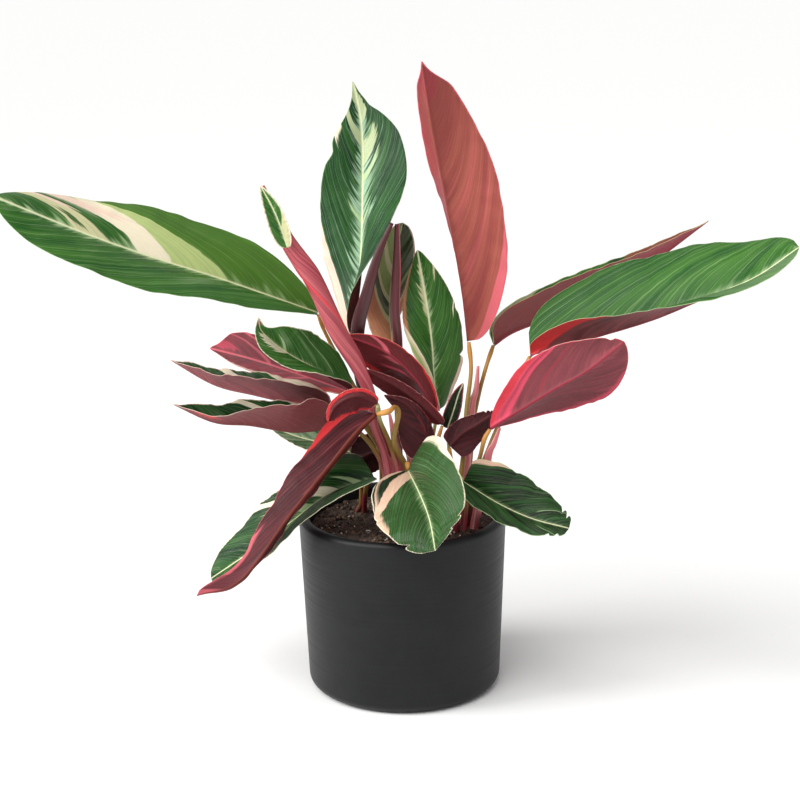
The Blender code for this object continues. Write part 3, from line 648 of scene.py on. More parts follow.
PETIOLES = (
    Stem(
        name="petiole_long_left", radius=(1, 1.5, 1.8), tints=RUSTY_FOOT,
        path=((-49.7, 6.2, 237), (-44.5, 9.7, 221.9), (-24.7, 8.1, 182.3), (-7.5, 6.6, 147.7),
              (-14.3, 5.4, 104)),
    ),
    Stem(
        name="petiole_top_green", radius=(1, 1.5, 1.8),
        path=((-29.7, 25.8, 218), (-20.8, 18.9, 186.7), (-5.2, 15.7, 139.3), (-8.1, 14.2, 104)),
    ),
    Stem(
        name="petiole_back_cream", radius=(1, 1.5, 1.8),
        path=((-4, 40.8, 203.2), (-2.9, 34, 174.7), (-1.3, 25.2, 134.2), (2.5, 18.2, 104)),
    ),
    Stem(
        name="petiole_mid_green", radius=(0.9, 1.4, 1.8), tints=PALE_TOP,
        path=((22.8, 23.9, 168.9), (19.4, 22.4, 151.2), (9.6, 15.2, 126.7), (6.9, 7.5, 104)),
    ),
    Stem(
        name="petiole_front_down", radius=(1.3, 1.8, 1.8), tints=PINK_FOOT,
        path=((-14, -26.3, 182.3), (-6.9, -28.7, 184.8), (-3.8, -18, 184.3), (-1.4, -14.4, 179),
              (-4.3, -14.7, 160.4), (3.3, -4.3, 138.4), (-0.2, -3.3, 104)),
    ),
    Stem(
        name="petiole_front_arch", radius=(1.1, 1.6, 1.8), tints=PALE_TOP,
        path=((-13.9, -24, 187.7), (-12.8, -14.9, 175.4), (-6.6, -9.4, 157), (-1.9, -5.2, 133.2),
              (-4.7, 1.8, 104)),
    ),
    Stem(
        name="petiole_left_upper", radius=(0.9, 1.4, 1.8), tints=RUSTY_FOOT,
        path=((-42, 3.8, 180.6), (-30.2, 1, 176.3), (-16.6, 2.1, 157.3), (-4, 2.8, 133.5),
              (-10.6, 9.8, 104)),
    ),
    Stem(
        name="petiole_left_lower", radius=(1.1, 1.6, 1.8), tints=PALE_TOP,
        path=((-42.2, -0.7, 167.2), (-32.6, -10, 169.9), (-24.6, -9.1, 165), (-16.5, -5.6, 153.2),
              (-10.5, -2.2, 136.3), (-9.9, -3.7, 104)),
    ),
    Stem(
        name="petiole_left_pink", radius=(0.9, 1.4, 1.8),
        path=((-32.4, 15.7, 186.1), (-24.5, 12.1, 174.6), (-13.6, 12.8, 145.3), (-13, 15, 104)),
    ),
    Stem(
        name="petiole_left_green", radius=(0.9, 1.4, 1.8),
        path=((-29.6, -3.3, 191.2), (-25.9, 2.6, 184.6), (-20.7, 5.8, 166), (-6.8, 11, 139.8),
              (-3.1, 9.2, 104)),
    ),
    Stem(
        name="petiole_mid_maroon", radius=(0.9, 1.4, 1.8),
        path=((20.8, 7.5, 174.1), (15.3, 18.4, 153.3), (5.2, 15.7, 127.7), (5.8, 14.8, 104)),
    ),
    Stem(
        name="petiole_mid_dark", radius=(0.9, 1.4, 1.8),
        path=((25.5, 4.1, 165.4), (20.2, 5.6, 149.7), (9, 6.3, 126.2), (11.7, 5.4, 104)),
    ),
    Stem(
        name="petiole_mid_drooping", radius=(0.9, 1.4, 1.8), tints=PALE_TOP,
        path=((16.5, -0.7, 153.1), (11.6, 2.6, 143), (3.7, 4.2, 125.6), (4, -0.7, 104)),
    ),
    Stem(
        name="petiole_front_low", radius=(1.1, 1.6, 1.8), tints=PINK_FOOT,
        path=((3.9, -21, 145.4), (3.4, -15.3, 147.4), (3.8, -8.6, 134.3), (4.1, -7.3, 104)),
    ),
    Stem(
        name="petiole_behind_stems", radius=(0.9, 1.4, 1.8),
        path=((-6.8, 31.2, 142.3), (-4.2, 20.9, 133.9), (-3.5, 19.4, 115.9), (-1.8, 22.9, 104)),
    ),
    Stem(
        name="petiole_tall_red", radius=(1.1, 1.6, 1.8), tints=PINK_FOOT,
        path=((43, 19.8, 215.2), (44.1, 15, 197.8), (40.9, 7.5, 174.1), (38.2, -1, 144.8),
              (32.2, -8.9, 104)),
    ),
    Stem(
        name="petiole_back_right", radius=(1.1, 1.6, 1.8), tints=PINK_FOOT,
        path=((58.7, 29.4, 210.2), (53.1, 19.2, 197), (46.6, 19, 170.1), (43.5, 13, 143.8), (39.5, 3, 104)),
    ),
    Stem(
        name="petiole_long_right", radius=(1.1, 1.6, 1.8),
        path=((79.6, 0.2, 210), (70.4, 3.8, 188.1), (56.6, -0.3, 157.2), (45.7, -6, 129.9),
              (41.1, -9, 104)),
    ),
    Stem(
        name="petiole_low_right_red", radius=(1.1, 1.6, 1.8), tints=PINK_FOOT,
        path=((54.4, -14.2, 168.1), (50.9, -15.2, 162.3), (48, -15, 150.3), (40.7, -14, 126.1),
              (38, -15, 104)),
    ),
    Stem(
        name="petiole_right_maroon", radius=(0.8, 1.3, 1.8),
        path=((30.1, -3.7, 153.3), (31, -2, 142.1), (32.3, -11.3, 125.4), (28.8, -12.4, 104)),
    ),
    Stem(
        name="petiole_young_green", radius=(0.8, 1.3, 1.8), tints=PALE_TOP,
        path=((29.1, 10.8, 160.9), (30.3, 7.8, 142.3), (33.2, 0.6, 121.5), (26, -3.1, 104)),
    ),
    Stem(
        name="petiole_right_low", radius=(1.1, 1.6, 1.8), tints=PALE_TOP,
        path=((37.4, -17.2, 136.3), (34.5, -13.4, 137.8), (34.6, -15.4, 125.9), (33, -18, 104)),
    ),
    Stem(
        name="petiole_left_low", radius=(1.1, 1.6, 1.8), tints=RUSTY_FOOT,
        path=((-17.4, -13.1, 137.5), (-21.4, -5.3, 132.8), (-23.8, 12.7, 114.2), (-24, 19, 104)),
    ),
    Stem(
        name="petiole_left_behind", radius=(0.9, 1.4, 1.8),
        path=((-31.6, 12, 146), (-26.6, 11.6, 134.8), (-25.9, 20.6, 112.2), (-29.1, 22, 104)),
    ),
)

SHOOTS = (
    Stem(
        name="spear_shoot", radius=(1.2, 4.5, 6.2, 6, 5.6, 3.6, 2.4, 2.2, 2), flat=0.9,
        path=((-78.7, -26, 321.7), (-66.8, -24, 291.6), (-51.6, -22, 265.7), (-37.8, -19, 233),
              (-26.2, -13, 210.2), (-17.5, -13.2, 188.2), (-16.5, -10.4, 171), (-9.5, -7.5, 146.8),
              (-5.2, -7.1, 104)),
    ),
    Stem(
        name="strap_shoot", radius=(1.2, 3.2, 4.4, 4, 2.4, 1.8, 1.8), flat=0.5,
        path=((-3.7, 11, 292.3), (-12.3, 4.9, 274.2), (-19.3, 1.5, 251.6), (-25.9, 4.8, 223.9),
              (-22.4, 15.3, 180), (-8.5, 17.9, 132.5), (-11, 21.2, 104)),
    ),
    Stem(
        name="rolled_shoot", radius=(1.6, 3.2, 3.3, 3.1, 2.2, 1.8, 1.8), flat=0.8,
        path=((-0.6, 24, 289.4), (-1.2, 22.2, 267.3), (-2.7, 17.4, 236.5), (-1.4, 17.5, 215.8),
              (-1.8, 22.3, 177.8), (-0.8, 12.5, 138), (1.5, 10.2, 104)),
    ),
)

SHEATHS = (
    Stem(
        name="sheath_low_right", radius=(0.6, 1.8, 1.9, 1.8), flat=0.75,
        path=((60.7, -8.1, 167.2), (57, -10, 158.2), (52.6, -12, 148), (44, -15, 104)),
    ),
    Stem(
        name="sheath_back_right", radius=(0.6, 1.8, 1.9, 1.8), flat=0.75,
        path=((48.5, 15, 200.9), (47.1, 14.5, 185.6), (43.6, 13, 169.9), (36.3, -4, 104)),
    ),
    Stem(
        name="sheath_middle", radius=(0.6, 1.8, 1.9, 1.8), flat=0.75,
        path=((-6.9, -7.5, 176.8), (-4.2, -5.6, 159.7), (-1, -1.5, 137.7), (-1.4, 5.1, 104)),
    ),
    Stem(
        name="sheath_front", radius=(0.6, 1.8, 1.9, 1.8), flat=0.75,
        path=((-13.2, -2.9, 155.9), (-9.1, -2.3, 147.5), (-5.1, -1.9, 137), (-9.1, 2.9, 104)),
    ),
    Stem(
        name="sheath_thin", radius=(0.6, 1.8, 1.9, 1.8), flat=0.75,
        path=((0.8, -2, 165.1), (2.8, 0.1, 154.1), (6.3, -0.7, 142.9), (8.2, 2.6, 104)),
    ),
)


CURVE_STEPS = 24


def unit(vectors: Array) -> Array:
    """Return the vectors, each scaled to length 1."""
    return vectors / np.linalg.norm(vectors, axis=-1, keepdims=True)


def length_of(line: Array) -> float:
    """Return a line's length."""
    return np.linalg.norm(np.diff(line, axis=0), axis=1).sum()


def smooth_path(points: Sequence[Vec], count: int) -> Array:
    """Lay even places along a smooth curve.

    Args:
        points: what the curve goes through.
        count: how many steps there are between its ends.

    Returns:
        The count + 1 places.
    """
    points = np.asarray(points, float)
    ends = 2 * points[[0, -1]] - points[[1, -2]]
    points = np.vstack([ends[0], points, ends[1]])
    curve = []
    for before, start, end, after in zip(points, points[1:], points[2:], points[3:]):
        for s in np.linspace(0, 1, CURVE_STEPS, endpoint=False):
            cubic = 3 * start - before - 3 * end + after
            square = 2 * before - 5 * start + 4 * end - after
            curve.append(0.5 * (2 * start + (end - before) * s + square * s**2 + cubic * s**3))
    curve = np.array(curve + [points[-2]])
    steps = np.linalg.norm(np.diff(curve, axis=0), axis=1)
    length = np.concatenate([[0], np.cumsum(steps)])
    places = np.linspace(0, length[-1], count + 1)
    return np.stack([np.interp(places, length, curve[:, k]) for k in range(3)], axis=1)


def between(values: Sequence[float], t: Array) -> Array:
    """Return the values, spaced evenly over 0 to 1, read at each t."""
    return np.interp(t, np.linspace(0, 1, len(values)), values)


def frames(line: Array, roll: Array) -> tuple[Array, Array, Array]:
    """Find which way a line faces at each of its places.

    Args:
        line: the places.
        roll: the turn about the line at each place, in degrees.

    Returns:
        The directions, the upper side's normals and the rightward vectors.
    """
    along = unit(np.gradient(line, axis=0))
    front = np.array([0.0, -1.0, 0.0])
    front = unit(front - (along @ front)[:, None] * along)
    turned = np.cross(along, front)
    roll = np.radians(roll)[:, None]
    normal = np.cos(roll) * front + np.sin(roll) * turned
    return along, normal, np.cross(along, normal)


def new_mesh(name: str, points: Array, faces: list, slots: Array | None = None) -> Mesh:
    """Make a mesh whose faces are turned outwards.

    Args:
        name: the mesh's name.
        points: its corners.
        faces: the corners of each face.
        slots: the material slot of each face.

    Returns:
        The mesh.
    """
    mesh = bpy.data.meshes.new(name)
    mesh.from_pydata([tuple(p) for p in points], [], faces)
    if slots is not None:
        mesh.polygons.foreach_set("material_index", slots)
    work = bmesh.new()
    work.from_mesh(mesh)
    bmesh.ops.recalc_face_normals(work, faces=work.faces)
    work.to_mesh(mesh)
    work.free()
    mesh.shade_smooth()
    return mesh


def mark(mesh: Mesh, name: str, marks: Array) -> None:
    """Keep three surface coordinates for each corner of a mesh."""
    layer = mesh.attributes.new(name, "FLOAT_VECTOR", "POINT")
    layer.data.foreach_set("vector", marks.ravel().astype(np.float32))


def place_object(name: str, data: bpy.types.ID) -> bpy.types.Object:
    """Put an object with a mesh, a light or a camera in the scene.

    Args:
        name: the object's name.
        data: what it shows.

    Returns:
        The object.
    """
    made = bpy.data.objects.new(name, data)
    bpy.context.scene.collection.objects.link(made)
    return made


def add_piece(name: str, mesh: Mesh, slot: str, *nodes: str) -> None:
    """Put a finished piece in the scene, fixed to the body, and hide the frame's nodes that it replaces.

    Args:
        name: the piece's name.
        mesh: its finished mesh.
        slot: the kind of surface it belongs to; not used.
        nodes: the frame's nodes that it replaces.
    """
    piece = place_object(name, mesh)
    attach(piece, BODY)
    if nodes:
        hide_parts(*nodes)
    LOG.info("%s: %d faces", name, len(mesh.polygons))


class Writer:
    """A short way to write shader nodes into a material.

    Attributes:
        material: the material.
        tree: the node tree that it writes to.
        shader: the material's Principled shader.
    """

    def __init__(self, name: str, roughness: float) -> None:
        """Start a material with one Principled shader.

        Args:
            name: the material's name.
            roughness: the shader's roughness where nothing drives it.
        """
        self.material = bpy.data.materials.new(name)
        self.material.use_nodes = True
        self.tree = self.material.node_tree
        self.shader = self.tree.nodes["Principled BSDF"]
        self.shader.inputs["Roughness"].default_value = roughness

    def node(self, kind: str, **values: object) -> bpy.types.Node:
        """Add a node of a kind and set its properties.

        Args:
            kind: the node's type without its first word.
            values: the properties and their values.

        Returns:
            The node.
        """
        made = self.tree.nodes.new("ShaderNode" + kind)
        for key, value in values.items():
            setattr(made, key, value)
        return made

    def put(self, socket: Socket, value: Value) -> None:
        """Link a socket to an input, or set the input to a constant.

        Args:
            socket: the input.
            value: a socket to link or a constant.
        """
        if isinstance(value, Socket):
            self.tree.links.new(value, socket)
        else:
            socket.default_value = value

    def surface(self, colour: Value, roughness: Value, specular: float | None = None) -> None:
        """Give the shader its colour, roughness and specular level.

        Args:
            colour: the base colour.
            roughness: the roughness.
            specular: the specular level, where it is not the usual one.
        """
        self.put(self.shader.inputs["Base Color"], colour)
        self.put(self.shader.inputs["Roughness"], roughness)
        if specular is not None:
            self.shader.inputs["Specular IOR Level"].default_value = specular

    def math(self, operation: str, *values: Value) -> Socket:
        """Return the result of a math node.

        Args:
            operation: what the node does.
            values: its inputs in order.

        Returns:
            The result.
        """
        made = self.node("Math", operation=operation)
        for socket, value in zip(made.inputs, values):
            self.put(socket, value)
        return made.outputs[0]

    def ramp(self, value: Value, low: float, high: float, out: Pair = (0.0, 1.0)) -> Socket:
        """Return the value eased from low to high into the out range.

        Args:
            value: what is eased.
            low: where the range starts.
            high: where it ends.
            out: the values at its start and its end.

        Returns:
            The eased value.
        """
        made = self.node("MapRange", interpolation_type="SMOOTHSTEP")
        self.put(made.inputs["Value"], value)
        for key, item in zip(("From Min", "From Max", "To Min", "To Max"), (low, high, *out)):
            self.put(made.inputs[key], item)
        return made.outputs["Result"]

    def mix(self, factor: Value, first: Value, second: Value, blend: str = "MIX") -> Socket:
        """Return two colours mixed.

        Args:
            factor: how much of the second there is.
            first: the first colour.
            second: the second colour.
            blend: how they are mixed.

        Returns:
            The colour.
        """
        made = self.node("Mix", data_type="RGBA", blend_type=blend)
        for key, value in (("Factor", factor), (6, first), (7, second)):
            self.put(made.inputs[key], value)
        return made.outputs[2]

    def vector(self, x: Value, y: Value, z: Value) -> Socket:
        """Return a vector of three values.

        Args:
            x: the first value.
            y: the second value.
            z: the third value.

        Returns:
            The vector.
        """
        made = self.node("CombineXYZ")
        for socket, value in zip(made.inputs, (x, y, z)):
            self.put(socket, value)
        return made.outputs[0]

    def noise(self, place: Socket, scale: float, detail: float = 3.0, rough: float = 0.5) -> Socket:
        """Return noise from 0 to 1 at a place.

        Args:
            place: where it is read.
            scale: how fine it is.
            detail: how many finer layers it has.
            rough: how strong these are.

        Returns:
            The noise.
        """
        made = self.node("TexNoise", noise_dimensions="3D")
        for key, value in (("Vector", place), ("Scale", scale), ("Detail", detail), ("Roughness", rough)):
            self.put(made.inputs[key], value)
        return made.outputs[0]

    def parts(self, vector: Socket) -> list[Socket]:
        """Return the three parts of a vector.

        Args:
            vector: the vector.

        Returns:
            The three values.
        """
        made = self.node("SeparateXYZ")
        self.put(made.inputs[0], vector)
        return list(made.outputs)

    def marks(self, name: str) -> list[Socket]:
        """Return the three parts of a surface attribute."""
        source = self.node("Attribute", attribute_type="GEOMETRY", attribute_name=name)
        return self.parts(source.outputs["Vector"])

    def place(self) -> Socket:
        """Return the object's own coordinates."""
        return self.node("TexCoord").outputs["Object"]

    def bump(self, height: Socket, distance: float, strength: float = 1.0) -> None:
        """Drive the shader's normal with a height.

        Args:
            height: the height from 0 to 1.
            distance: the height of 1 in metres.
            strength: how strong it is.
        """
        made = self.node("Bump")
        for key, value in (("Height", height), ("Distance", distance), ("Strength", strength)):
            self.put(made.inputs[key], value)
        self.put(self.shader.inputs["Normal"], made.outputs["Normal"])


@dataclass(frozen=True)
class BladePaint:
    """The material of one face of a blade.

    Attributes:
        finish: the blade's colours.
        side: which face it is for.
        seed: sets apart the pattern of each blade.
        bands: the noises that follow the veins, each as (name, scale along the midrib, scale
            across it, detail).
        wander: how far a streak's edges stray from the vein, by cloud and by streak noise.
    """

    finish: Finish
    side: Side
    seed: int
    bands: tuple[tuple[str, float, float, float], ...] = (
        ("broad", 12.0, 0.8, 2.0), ("streak", 56.0, 1.1, 3.0), ("fine", 210.0, 1.6, 2.0),
    )
    wander: Pair = (0.05, 0.02)

    def fields(self, w: Writer) -> dict[str, Socket]:
        """Return the surface coordinates and the noises that follow the side veins.

        Args:
            w: the material's writer.

        Returns:
            The place across (signed and not), the vein coordinate and the half width in
            millimetres, then each noise and the thin lines of the veins.
        """
        signed, vein, width = w.marks("leaf")
        got = {"signed": signed, "vein": vein, "width": width, "across": w.math("ABSOLUTE", signed)}
        for step, (name, lengthwise, crosswise, detail) in enumerate(self.bands):
            place = w.vector(
                w.math("MULTIPLY", vein, lengthwise), w.math("MULTIPLY", signed, crosswise),
                self.seed * 3.7 + step * 11.3,
            )
            got[name] = w.noise(place, 1.0, detail)
        got["cloud"] = w.noise(w.place(), 38.0, 3.0)
        beat = w.math("MULTIPLY_ADD", vein, VEINS.count, w.math("MULTIPLY", got["broad"], 1.6))
        beat = w.math("ABSOLUTE", w.math("SUBTRACT", w.math("FRACT", beat), 0.5))
        faint = w.ramp(got["cloud"], 0.3, 0.6, (0.4, 1.0))
        got["veins"] = w.math("MULTIPLY", w.ramp(beat, 0.07, 0.0), faint)
        return got

    def upper(self, w: Writer, f: dict[str, Socket]) -> Socket:
        """Return the upper side's green, a painted sheen (a grey-green highlight in the bands between the
        veins) and pale feathering.

        Args:
            w: the material's writer.
            f: the surface coordinates and the noises.

        Returns:
            The colour.
        """
        finish = self.finish
        dark, light, rib = finish.dark.value, finish.light.value, finish.rib.value
        colour = w.mix(w.ramp(f["broad"], 0.34, 0.68), dark, light)
        colour = w.mix(w.ramp(f["streak"], 0.38, 0.72, (0.0, 0.55)), colour, dark)
        colour = w.mix(w.ramp(f["cloud"], 0.4, 0.72, (0.0, 0.4)), colour, light)
        # Painted sheen: a grey-green highlight laid over the broad bands between the veins, fading towards
        # the margin.
        sheen = w.math("MULTIPLY", w.ramp(f["broad"], 0.52, 0.74), w.ramp(f["across"], 1.0, 0.5))
        painted_sheen = w.ramp(f["cloud"], 0.35, 0.65, (0.2 * finish.painted_sheen, finish.painted_sheen))
        sheen = w.math("MULTIPLY", sheen, painted_sheen)
        colour = w.mix(sheen, colour, Tint.SILVER.value)
        colour = w.mix(w.ramp(f["fine"], 0.55, 0.72, (0.0, 0.22)), colour, rib)
        colour = w.mix(w.math("MULTIPLY", f["veins"], 0.26), colour, rib)
        reach = w.ramp(f["streak"], 0.34, 0.74, (0.2 * finish.feather, 1.9 * finish.feather))
        reach = w.math("MULTIPLY", reach, w.ramp(f["cloud"], 0.3, 0.7, (0.6, 1.3)))
        pale = w.ramp(w.math("SUBTRACT", reach, f["across"]), -0.09, 0.12, (0.0, 0.85))
        pale = w.math("MULTIPLY", pale, w.ramp(f["fine"], 0.3, 0.6, (0.55, 1.0)))
        return w.mix(pale, colour, rib)

    def under(self, w: Writer, f: dict[str, Socket]) -> Socket:
        """Return the underside's reds, streaked along the veins.

        Args:
            w: the material's writer.
            f: the surface coordinates and the noises.

        Returns:
            The colour.
        """
        finish = self.finish
        deep, main = finish.under_deep.value, finish.under.value
        colour = w.mix(w.ramp(f["broad"], 0.3, 0.68), deep, main)
        colour = w.mix(w.ramp(f["streak"], 0.42, 0.75, (0.0, 0.5)), colour, deep)
        colour = w.mix(w.ramp(f["cloud"], 0.4, 0.7, (0.0, 0.35)), colour, main)
        colour = w.mix(w.ramp(f["fine"], 0.5, 0.7, (0.0, 0.35)), colour, deep)
        return w.mix(w.math("MULTIPLY", f["veins"], 0.22), colour, finish.under_margin.value)

    def patch(self, w: Writer, f: dict[str, Socket], patch: Patch, colour: Socket) -> Socket:
        """Lay one streak over a colour.

        Args:
            w: the material's writer.
            f: the surface coordinates and noises.
            patch: the streak.
            colour: what it lies over.

        Returns:
            The colour with the streak.
        """
        upper = self.side is Side.UPPER
        tint = patch.tint if upper else patch.under
        if tint is None:
            return colour
        (low, high), (inner, outer) = patch.vein, patch.across
        soft = 0.004 if upper else 0.018
        cloudy, streaky = self.wander
        bent = w.math("ADD", w.math("MULTIPLY_ADD", f["cloud"], cloudy, -cloudy / 2), f["vein"])
        bent = w.math("MULTIPLY_ADD", w.math("SUBTRACT", f["streak"], 0.5), streaky, bent)
        if patch.bend:
            bent = w.math("MULTIPLY_ADD", w.math("MULTIPLY", f["across"], f["across"]), patch.bend, bent)
        wide = 0.7 if inner < 0.75 else 0.16
        reach = w.math("MULTIPLY_ADD", f["streak"], wide, w.math("SUBTRACT", f["across"], wide / 2))
        masks = [w.ramp(bent, low - soft, low + soft), w.ramp(bent, high + soft, high - soft)]
        if inner > 0:
            masks.append(w.ramp(reach, inner - 0.06, inner + 0.06))
        if outer < 1:
            masks.append(w.ramp(reach, outer + 0.06, outer - 0.06))
        if patch.half is not Half.BOTH:
            test = "GREATER_THAN" if patch.half is Half.RIGHT else "LESS_THAN"
            masks.append(w.math(test, f["signed"], 0.0))
        masks.append(w.ramp(f["streak"], 0.62, 0.8, (patch.amount, 0.55 * patch.amount)))
        masks.append(w.ramp(f["fine"], 0.35, 0.6, (0.82, 1.0)))
        shape = masks[0]
        for mask in masks[1:]:
            shape = w.math("MULTIPLY", shape, mask)
        return w.mix(shape, colour, tint.value)

    def midrib_and_margin(self, w: Writer, f: dict[str, Socket], colour: Socket) -> Socket:
        """Lay the midrib and the ragged margin over a colour.

        Args:
            w: the material's writer.
            f: the surface coordinates and the noises.
            colour: what they lie over.

        Returns:
            The colour with both.
        """
        finish, upper = self.finish, self.side is Side.UPPER
        away = w.math("MULTIPLY", f["across"], f["width"])
        half_rib = finish.rib_width if upper else 0.9
        rib = w.ramp(away, half_rib, half_rib * 0.3, (0.0, 0.85))
        colour = w.mix(rib, colour, (Tint.STRAW_PALE if upper else finish.under_rib).value)
        width = finish.margin_width if upper else finish.under_width
        edge = w.math("MULTIPLY_ADD", f["streak"], width * 2.4, -1.2 * width)
        edge = w.math("ADD", w.math("SUBTRACT", f["width"], away), edge)
        edge = w.ramp(edge, width, width * 0.3, (0.0, 0.85))
        return w.mix(edge, colour, (finish.margin if upper else finish.under_margin).value)

    def material(self, name: str) -> Material:
        """Return the material, with veins, streaks, margin and gloss.

        Args:
            name: the blade's name.

        Returns:
            The material.
        """
        upper = self.side is Side.UPPER
        w = Writer(f"{name} {self.side.value}", 0.4)
        f = self.fields(w)
        colour = self.upper(w, f) if upper else self.under(w, f)
        for patch in self.finish.patches:
            colour = self.patch(w, f, patch, colour)
        colour = self.midrib_and_margin(w, f, colour)
        rough = (0.27, 0.44) if upper else (0.42, 0.6)
        w.surface(colour, w.ramp(f["broad"], 0.3, 0.7, rough), 0.22)
        height = w.math("ADD", w.math("MULTIPLY", f["streak"], 0.8), w.math("MULTIPLY", f["fine"], 0.35))
        w.bump(w.math("ADD", height, w.math("MULTIPLY", f["broad"], 1.2)), 0.0006, 0.7)
        return w.material


@dataclass(frozen=True)
class StalkSkin:
    """The skin of a stalk, its colours running from the top to the foot.

    Attributes:
        tints: the colours from the top to the foot.
        seed: sets apart the pattern of each stalk.
    """

    tints: tuple[Tint, ...]
    seed: int

    def material(self, name: str) -> Material:
        """Return the material with lengthwise grain.

        Args:
            name: the stalk's name.

        Returns:
            The material.
        """
        w = Writer(name + " skin", 0.4)
        turn, along, front = w.marks("stem")
        place = w.vector(
            w.math("MULTIPLY", turn, 9.0), w.math("MULTIPLY", along, 5.0),
            w.math("MULTIPLY_ADD", front, 9.0, self.seed * 1.3),
        )
        grain = w.noise(place, 1.0, 4.0)
        shift = w.math("ADD", along, w.math("MULTIPLY_ADD", grain, 0.16, -0.08))
        colour = self.tints[0].value
        for step, tint in enumerate(self.tints[1:], 1):
            middle = (step - 0.5) / (len(self.tints) - 1)
            colour = w.mix(w.ramp(shift, middle - 0.12, middle + 0.12), colour, tint.value)
        colour = w.mix(w.ramp(grain, 0.35, 0.7, (0.0, 0.35)), colour, Tint.RUST.value, "MULTIPLY")
        w.surface(colour, w.ramp(grain, 0.2, 0.8, (0.34, 0.52)))
        w.bump(grain, 0.0002, 0.6)
        return w.material


@dataclass(frozen=True)
class RollSkin:
    """The skin of a rolled young leaf or sheath.

    Attributes:
        main: its main colour.
        shade: the colour of its darker streaks, and of the painted shade on the layer under the seam.
        stripe: the colour of its outer margin.
        seed: sets apart the pattern of each roll.
    """

    main: Tint
    shade: Tint
    stripe: Tint
    seed: int

    def material(self, name: str) -> Material:
        """Return the material with lengthwise streaks, a striped seam and painted shade under the seam.

        Args:
            name: the roll's name.

        Returns:
            The material.
        """
        w = Writer(name + " skin", 0.38)
        share, along, _ = w.marks("stem")
        place = w.vector(w.math("MULTIPLY", share, 22.0), w.math("MULTIPLY", along, 3.0), self.seed * 1.7)
        grain = w.noise(place, 1.0, 4.0)
        colour = w.mix(w.ramp(grain, 0.35, 0.7), self.main.value, self.shade.value)
        colour = w.mix(w.ramp(share, 0.05, 0.02), colour, self.stripe.value)
        # Painted shade: the layer just under the seam's step is darkened, as if shaded by the outer margin
        # over it.
        colour = w.mix(w.ramp(share, 0.86, 1.0, (0.0, 0.7)), colour, self.shade.value)
        w.surface(colour, w.ramp(grain, 0.2, 0.8, (0.3, 0.46)))
        w.bump(grain, 0.0002, 0.7)
        return w.material


@dataclass(frozen=True)
class Charcoal:
    """The planter's matte charcoal glaze.

    Attributes:
        dark: the glaze's darker colour.
        light: its lighter colour.
        line: the colour of the faint turning lines.
    """

    dark: Colour = srgb(11, 12, 13)
    light: Colour = srgb(17, 18, 20)
    line: Colour = srgb(33, 34, 36)

    def material(self) -> Material:
        """Return the material with its mottle and turning lines.

        Returns:
            The material.
        """
        w = Writer("matte charcoal", 0.5)
        place = w.place()
        height = w.parts(place)[2]
        lines = w.noise(w.vector(0.0, 0.0, w.math("MULTIPLY", height, 420.0)), 1.0, 4.0, 0.6)
        mottle = w.noise(place, 60.0, 5.0, 0.6)
        speck = w.noise(place, 900.0, 2.0)
        colour = w.mix(w.ramp(mottle, 0.3, 0.7), self.dark, self.light)
        colour = w.mix(w.ramp(lines, 0.35, 0.75, (0.0, 0.3)), colour, self.line)
        w.surface(colour, w.ramp(lines, 0.3, 0.7, (0.4, 0.52)), 0.27)
        w.bump(w.math("ADD", lines, w.math("MULTIPLY", speck, 0.35)), 0.0003, 0.5)
        return w.material


@dataclass(frozen=True)
class Earth:
    """The dark, crumbly potting soil.

    Attributes:
        dark: the colour of its hollows, where it is partly painted shade.
        light: the colour of its clumps.
        grain: the colour of its grains.
    """

    dark: Colour = srgb(50, 40, 34)
    light: Colour = srgb(92, 76, 64)
    grain: Colour = srgb(128, 108, 90)

    def material(self) -> Material:
        """Return the material with clumps, grains and painted shade in the hollows.

        Returns:
            The material.
        """
        w = Writer("potting soil", 0.95)
        place = w.place()
        grain = w.noise(place, 420.0, 5.0, 0.7)
        clump = w.noise(place, 130.0, 4.0, 0.6)
        # The clump noise also drives the bump, so the darker brown lies in the hollows: partly the soil's
        # own colour, partly painted shade.
        colour = w.mix(w.ramp(clump, 0.3, 0.7), self.dark, self.light)
        colour = w.mix(w.ramp(grain, 0.55, 0.72), colour, self.grain)
        w.surface(colour, w.ramp(grain, 0.2, 0.8, (0.85, 1.0)))
        w.bump(w.math("ADD", clump, grain), 0.0012, 1.0)
        return w.material


@dataclass(frozen=True)
class LumpSkin:
    """The rough skin of small lumps.

    Attributes:
        name: the material's name.
        dark: its darker colour.
        light: its lighter colour.
    """

    name: str
    dark: Colour
    light: Colour

    def material(self) -> Material:
        """Return the material.

        Returns:
            The material.
        """
        w = Writer(self.name, 0.9)
        grain = w.noise(w.place(), 300.0, 4.0, 0.6)
        colour = w.mix(w.ramp(grain, 0.35, 0.65), self.dark, self.light)
        w.surface(colour, w.ramp(grain, 0.3, 0.7, (0.8, 1.0)))
        w.bump(w.noise(w.place(), 2500.0, 3.0), 0.0003, 0.8)
        return w.material


def sheet_faces(rows: int, columns: int) -> tuple[list, Array]:
    """Join two grids of points, one under the other, into a closed sheet.

    Args:
        rows: how many rows each grid has.
        columns: how many points each row has.

    Returns:
        The faces and the material slot of each: 0 above and at the edge, 1 below.
    """
    under = rows * columns
    index = np.arange(under).reshape(rows, columns)
    corners = (index[:-1, :-1], index[:-1, 1:], index[1:, 1:], index[1:, :-1])
    top = np.stack([corner.ravel() for corner in corners], axis=1)
    rim = np.concatenate([index[0, :], index[1:, -1], index[-1, -2::-1], index[-2:0:-1, 0]])
    follow = np.roll(rim, -1)
    edge = np.stack([rim, follow, follow + under, rim + under], axis=1)
    faces = np.concatenate([top, top[:, ::-1] + under, edge]).tolist()
    slots = np.repeat([0, 1, 0], [len(top), len(top), len(edge)])
    return faces, slots.astype(np.int32)


